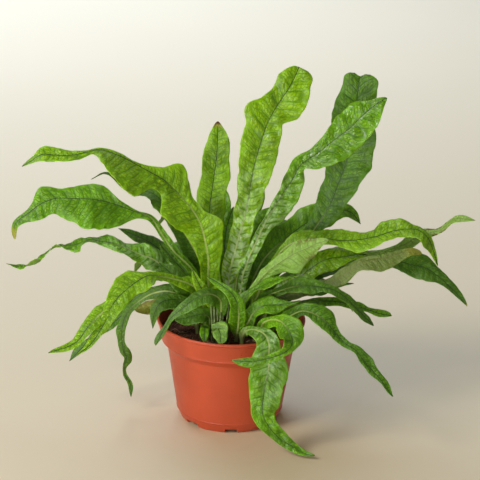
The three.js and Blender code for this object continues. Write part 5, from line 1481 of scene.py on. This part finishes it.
class FERN_OT_pot(bpy.types.Operator):
    """Turns the nursery pot, lifts its foot notches and bores its drain holes"""

    bl_idname = "fern.pot"
    bl_label = "Pot"

    def execute(self, context):
        s = context.scene.fern_pot
        rim, height, wall, bead = (v / MM for v in (s.rim_radius, s.height, s.wall, s.bead))
        # Radius and height: from the axis under the floor out to the foot, up over two beads and the step of the
        # collar to the rolled rim, and down the inside to the floor.
        profile = [
            (0, 4.6), (50, 4.6), (51, 0), (53.6, 0), (55.2, 1.4), (57.6, 7), (59.2, 11), (59.5 + bead, 11.3),
            (59.5 + bead, 12.1), (59.6, 12.5), (70.6, 84.4), (70.9, 85.2), (75.9, 90.8), (76.7, 91.6),
            (76.7 + bead, 92.0), (76.7 + bead, 92.9), (77.0, 93.4), (rim - 1.4, height - 4.2),
            (rim - 0.5, height - 3.4), (rim, height - 2.6), (rim, height - 0.7), (rim - 0.7, height),
            (rim - 2, height), (rim - 2.8, height - 0.5), (rim - 3.2, height - 1.6),
            (76.7 - wall, 92.2), (70.6 - wall, 85.2), (59.5 - wall, 12), (53, 6.2), (0, 6.2),
        ]
        # Columns stand closer together at either end of each notch, so its ends are steep.
        ends = [a - 90 + side * (w / 2 + more) for a, w in FOOT_NOTCHES for side in (-1, 1) for more in (-0.4, 0.4)]
        angles = np.unique(np.round(np.r_[np.arange(s.sides) * TAU / s.sides, np.radians(ends) % TAU], 6))
        points, faces = turned(softened(profile, 1.2), angles)
        lift_notches(points)
        pot = make_piece("pot_shell", points, faces, pot_plastic(s), ["pot"])
        bore_drain_holes(context, pot)
        pot.data.set_sharp_from_angle(angle=math.radians(38))
        return {"FINISHED"}


def soil_height(x, y, top):
    """Height of the peat at a place, in millimetres: a little higher round the crown, with hollows."""
    return (
        top + 2.4 * (0.5 - np.hypot(x, y) / RIM_RADIUS)
        + 0.8 * np.sin(x / 6.1 + 1) * np.cos(y / 5.3) + 0.5 * np.sin(x / 2.9 - y / 3.7)
    )


class FERN_OT_soil(bpy.types.Operator):
    """Fills the pot with peat up to its rough surface"""

    bl_idname = "fern.soil"
    bl_label = "Soil"

    def execute(self, context):
        s = context.scene.fern_pot
        top = s.soil_top / MM
        # Radius and height: up the inside of the pot, then over the surface to the axis.
        profile = [(0, 6.6), (52.2, 6.6), (57, 12), (68.2, 85.2), (74.2, 92.2)]
        profile += [(SOIL_RADIUS * (1 - k / SOIL_RINGS), top) for k in range(SOIL_RINGS)] + [(0, top)]
        points, faces = turned(profile, np.arange(SOIL_SIDES) * TAU / SOIL_SIDES)
        surface = points[:, 2] >= top - 0.01
        x, y = points[surface, 0], points[surface, 1]
        rough = [noise.fractal(Vector((a / 2.6, b / 2.6, 0.3)), 0.8, 2.1, 3) for a, b in zip(x, y)]
        clods = [noise.noise(Vector((a / 7.5, b / 7.5, 4.1))) for a, b in zip(x, y)]
        points[surface, 2] = soil_height(x, y, top) + 0.7 * np.array(rough) + 0.8 * np.array(clods)
        soil = make_piece("soil_fill", points, faces, peat_mix(s), ["soil"])
        soil.data.set_sharp_from_angle(angle=math.radians(60))
        return {"FINISHED"}


def tubes(lines, radii, sides):
    """Points and faces of closed round threads: for each line its points, and the radius at each of them."""
    points, faces = [], []
    for line, radius in zip(lines, radii):
        line = np.array(line, float)
        count = len(line)
        along = np.gradient(line, axis=0)
        level = abs(line[-1, 2] - line[0, 2]) < np.linalg.norm((line[-1] - line[0])[:2])
        side = np.cross(along, (0, 0, 1) if level else (0, 1, 0))
        side /= np.linalg.norm(side, axis=1)[:, None]
        lift = np.cross(side, along)
        lift /= np.linalg.norm(lift, axis=1)[:, None]
        first = sum(len(p) for p in points)
        for c in range(sides):
            turn = c * TAU / sides
            points.append(line + np.array(radius)[:, None] * (side * math.cos(turn) + lift * math.sin(turn)))
        for c in range(sides):
            a, b = first + count * c, first + count * ((c + 1) % sides)
            faces += [(a + j, a + j + 1, b + j + 1, b + j) for j in range(count - 1)]
        faces.append(tuple(first + count * c for c in range(sides)))
        faces.append(tuple(first + count * c + count - 1 for c in reversed(range(sides))))
    return np.vstack(points), faces


def scattered_crumbs(s, top, rng):
    """Crumbs of peat and flat bits of bark on the soil, as (points, faces, how much each point is bark)."""
    ball = bmesh.new()
    bmesh.ops.create_icosphere(ball, subdivisions=1, radius=1)
    unit = np.array([v.co for v in ball.verts])
    shell = np.array([[v.index for v in f.verts] for f in ball.faces])
    ball.free()

    points, faces, tints = [], [], []
    for k in range(s.crumbs):
        r, a = CRUMB_REACH * math.sqrt(rng.random()), rng.random() * TAU
        x, y = r * math.cos(a), r * math.sin(a)
        size = s.crumb / MM * 0.5 * rng.lognormal(0, 0.38)
        bark = rng.random() < 0.16
        shape = np.array([1.9, 0.9, 0.45] if bark else [1.1, 1.0, 0.8]) * size
        shape *= 0.8 + 0.4 * rng.random(3)
        lumps = unit * (1 + 0.35 * (rng.random((len(unit), 1)) - 0.5)) * shape
        turn = np.array(Matrix.Rotation(rng.random() * TAU, 3, "Z") @ Matrix.Rotation(rng.normal(0, 0.35), 3, "X"))
        z = float(soil_height(x, y, top)) + 0.35 * size
        faces += (shell + len(unit) * k).tolist()
        points.append(lumps @ turn.T + (x, y, z))
        tints += [0.25 + 0.75 * rng.random() if bark else 0.22 * rng.random() ** 2] * len(unit)
    return np.vstack(points), faces, tints


def rootlet_lines(s, top, rng):
    """Rootlets and fibres that wander over the soil, as (lines, radii along each)."""
    lines, radii = [], []
    for k in range(s.fibres):
        r, a = ROOTLET_REACH * math.sqrt(rng.random()), rng.random() * TAU
        place = np.array([r * math.cos(a), r * math.sin(a)])
        heading, long = rng.random() * TAU, 5 + 13 * rng.random()
        thick = 0.18 + 0.36 * rng.random() ** 2
        line = []
        for step in range(9):
            z = float(soil_height(*place, top)) + 0.9 + 0.5 * math.sin(step * 0.8 + k)
            line.append((*place, z))
            heading += rng.normal(0, 0.28)
            place = place + long / 8 * np.array([math.cos(heading), math.sin(heading)])
            if np.hypot(*place) > ROOTLET_TURN:
                heading += 2.0
                place *= (ROOTLET_TURN - 0.5) / np.hypot(*place)
        lines.append(line)
        radii.append(thick * (1 - 0.6 * np.linspace(0, 1, 9)))
    return lines, radii


class FERN_OT_crumbs(bpy.types.Operator):
    """Scatters crumbs of peat and bark, fibres and rootlets over the soil"""

    bl_idname = "fern.crumbs"
    bl_label = "Crumbs and rootlets"

    def execute(self, context):
        s = context.scene.fern_pot
        top = s.soil_top / MM
        rng = np.random.default_rng(11)
        points, faces, tints = scattered_crumbs(s, top, rng)
        crumbs = make_piece("soil_crumbs", points, faces, bpy.data.materials["peat_and_bark_compost"])
        crumbs.data.attributes.new("tint", "FLOAT", "POINT").data.foreach_set("value", np.array(tints, np.float32))
        points, faces = tubes(*rootlet_lines(s, top, rng), 5)
        make_piece("soil_rootlets", points, faces, wood_fibre(s))
        return {"FINISHED"}


class FERN_OT_fronds(bpy.types.Operator):
    """Grows all fronds, each in the place of its solid"""

    bl_idname = "fern.fronds"
    bl_label = "Fronds"

    def execute(self, context):
        look = context.scene.fern_fronds
        # The deep material, and in part the dark one, paint shade into the green of fronds shaded by the others.
        tones = {
            "green": (leaf_blade("fern_frond_grown_green", look.green, 0.78, 0.55), "frond_green"),
            "young": (leaf_blade("fern_frond_grown_young", look.bright, 0.76, 0.52), "frond_green"),
            "deep": (leaf_blade("fern_frond_grown_deep", look.deep, 0.9, 0.6), "frond_green"),
            "dark": (leaf_blade("fern_frond_grown_dark", look.dark, 0.6, 0.45), "frond_shade"),
            "pale": (leaf_blade("fern_frond_grown_pale", look.pale, 0.8, 0.5), "frond_pale"),
            "olive": (leaf_blade("fern_frond_grown_olive", look.olive, 0.8, 0.5), "frond_yellowing"),
        }
        top = context.scene.fern_pot.soil_top / MM
        for seed, spec in enumerate(FRONDS):
            name = spec["name"]
            x, y = spec["foot"]
            under = name in SHOWS_UNDERSIDE
            start = [(x, y, top - 10), (x, y, top + 4)]
            line = np.vstack([[(x, y, top - 5)], curve_through([*start, *spec["through"]])])
            strips = [blade_strip(spec, line, 9, look, seed, under)]
            if "branch" in spec:
                arm = spec["branch"]
                first = arm["through"][0]
                strips.append(blade_strip(arm, curve_through([first, *arm["through"]]), 0, look, seed + 60, under))
            starts = np.cumsum([0, *(len(strip[0]) for strip in strips)])
            points = np.concatenate([strip[0] for strip in strips])
            quads = np.concatenate([strip[1] + n for strip, n in zip(strips, starts)])
            material = tones[RETONED.get(name, spec["tone"])][0]
            piece = make_piece("blade_" + name[6:], points, quads.tolist(), material, [name])
            for k, layer in enumerate(("blade", "net", "place")):
                store(piece, layer, np.concatenate([strip[k + 2] for strip in strips]))
        return {"FINISHED"}


class FERN_OT_stalks(bpy.types.Operator):
    """Sets the pale bare stalks of the crown among the feet of the front fronds"""

    bl_idname = "fern.stalks"
    bl_label = "Crown stalks"

    def execute(self, context):
        look = context.scene.fern_fronds
        top = context.scene.fern_pot.soil_top / MM
        lines, radii = [], []
        for k, (x, y, lean, high) in enumerate(CROWN_STALKS):
            line = curve_through([
                (x, y, top - 3), (x, y, top), (x + 0.25 * lean, y + 2, top + high / 2),
                (x + lean, y + 8, top + high),
            ], 8)
            share = np.linspace(0, 1, len(line))
            lines.append(line)
            radii.append(look.stalk / MM * (1.15 - 0.35 * share + 0.04 * np.sin(9 * share + k)))
        points, faces = tubes(lines, radii, 12)
        make_piece("crown_stalks", points, faces, stalk_skin(look))
        return {"FINISHED"}


class FERN_PT_panel(bpy.types.Panel):
    """Tools that build the fern, and the sizes and colours they use"""

    bl_label = "Potted crocodile fern"
    bl_idname = "FERN_PT_panel"
    bl_space_type = "VIEW_3D"
    bl_region_type = "UI"
    bl_category = "Fern"

    def draw(self, context):
        layout = self.layout
        for tool in OPERATORS:
            layout.operator(tool.bl_idname)
        for settings in (context.scene.fern_pot, context.scene.fern_fronds, context.scene.fern_studio):
            box = layout.box()
            for key in settings.__annotations__:
                box.prop(settings, key)


OPERATORS = (FERN_OT_studio, FERN_OT_pot, FERN_OT_soil, FERN_OT_crumbs, FERN_OT_fronds, FERN_OT_stalks)
GROUPS = {
    "fern_pot": FernPotSettings,
    "fern_fronds": FernFrondSettings,
    "fern_studio": FernStudioSettings,
}


def register():
    for kind in (*GROUPS.values(), *OPERATORS, FERN_PT_panel):
        bpy.utils.register_class(kind)
    for name, group in GROUPS.items():
        setattr(bpy.types.Scene, name, PointerProperty(type=group))


def unregister():
    for name in GROUPS:
        delattr(bpy.types.Scene, name)
    for kind in reversed((*GROUPS.values(), *OPERATORS, FERN_PT_panel)):
        bpy.utils.unregister_class(kind)


def main():
    """Registers the tools and runs them in order."""
    register()
    bpy.ops.fern.studio()
    bpy.ops.fern.pot()
    bpy.ops.fern.soil()
    bpy.ops.fern.crumbs()
    bpy.ops.fern.fronds()
    bpy.ops.fern.stalks()


if __name__ == "__main__":
    main()
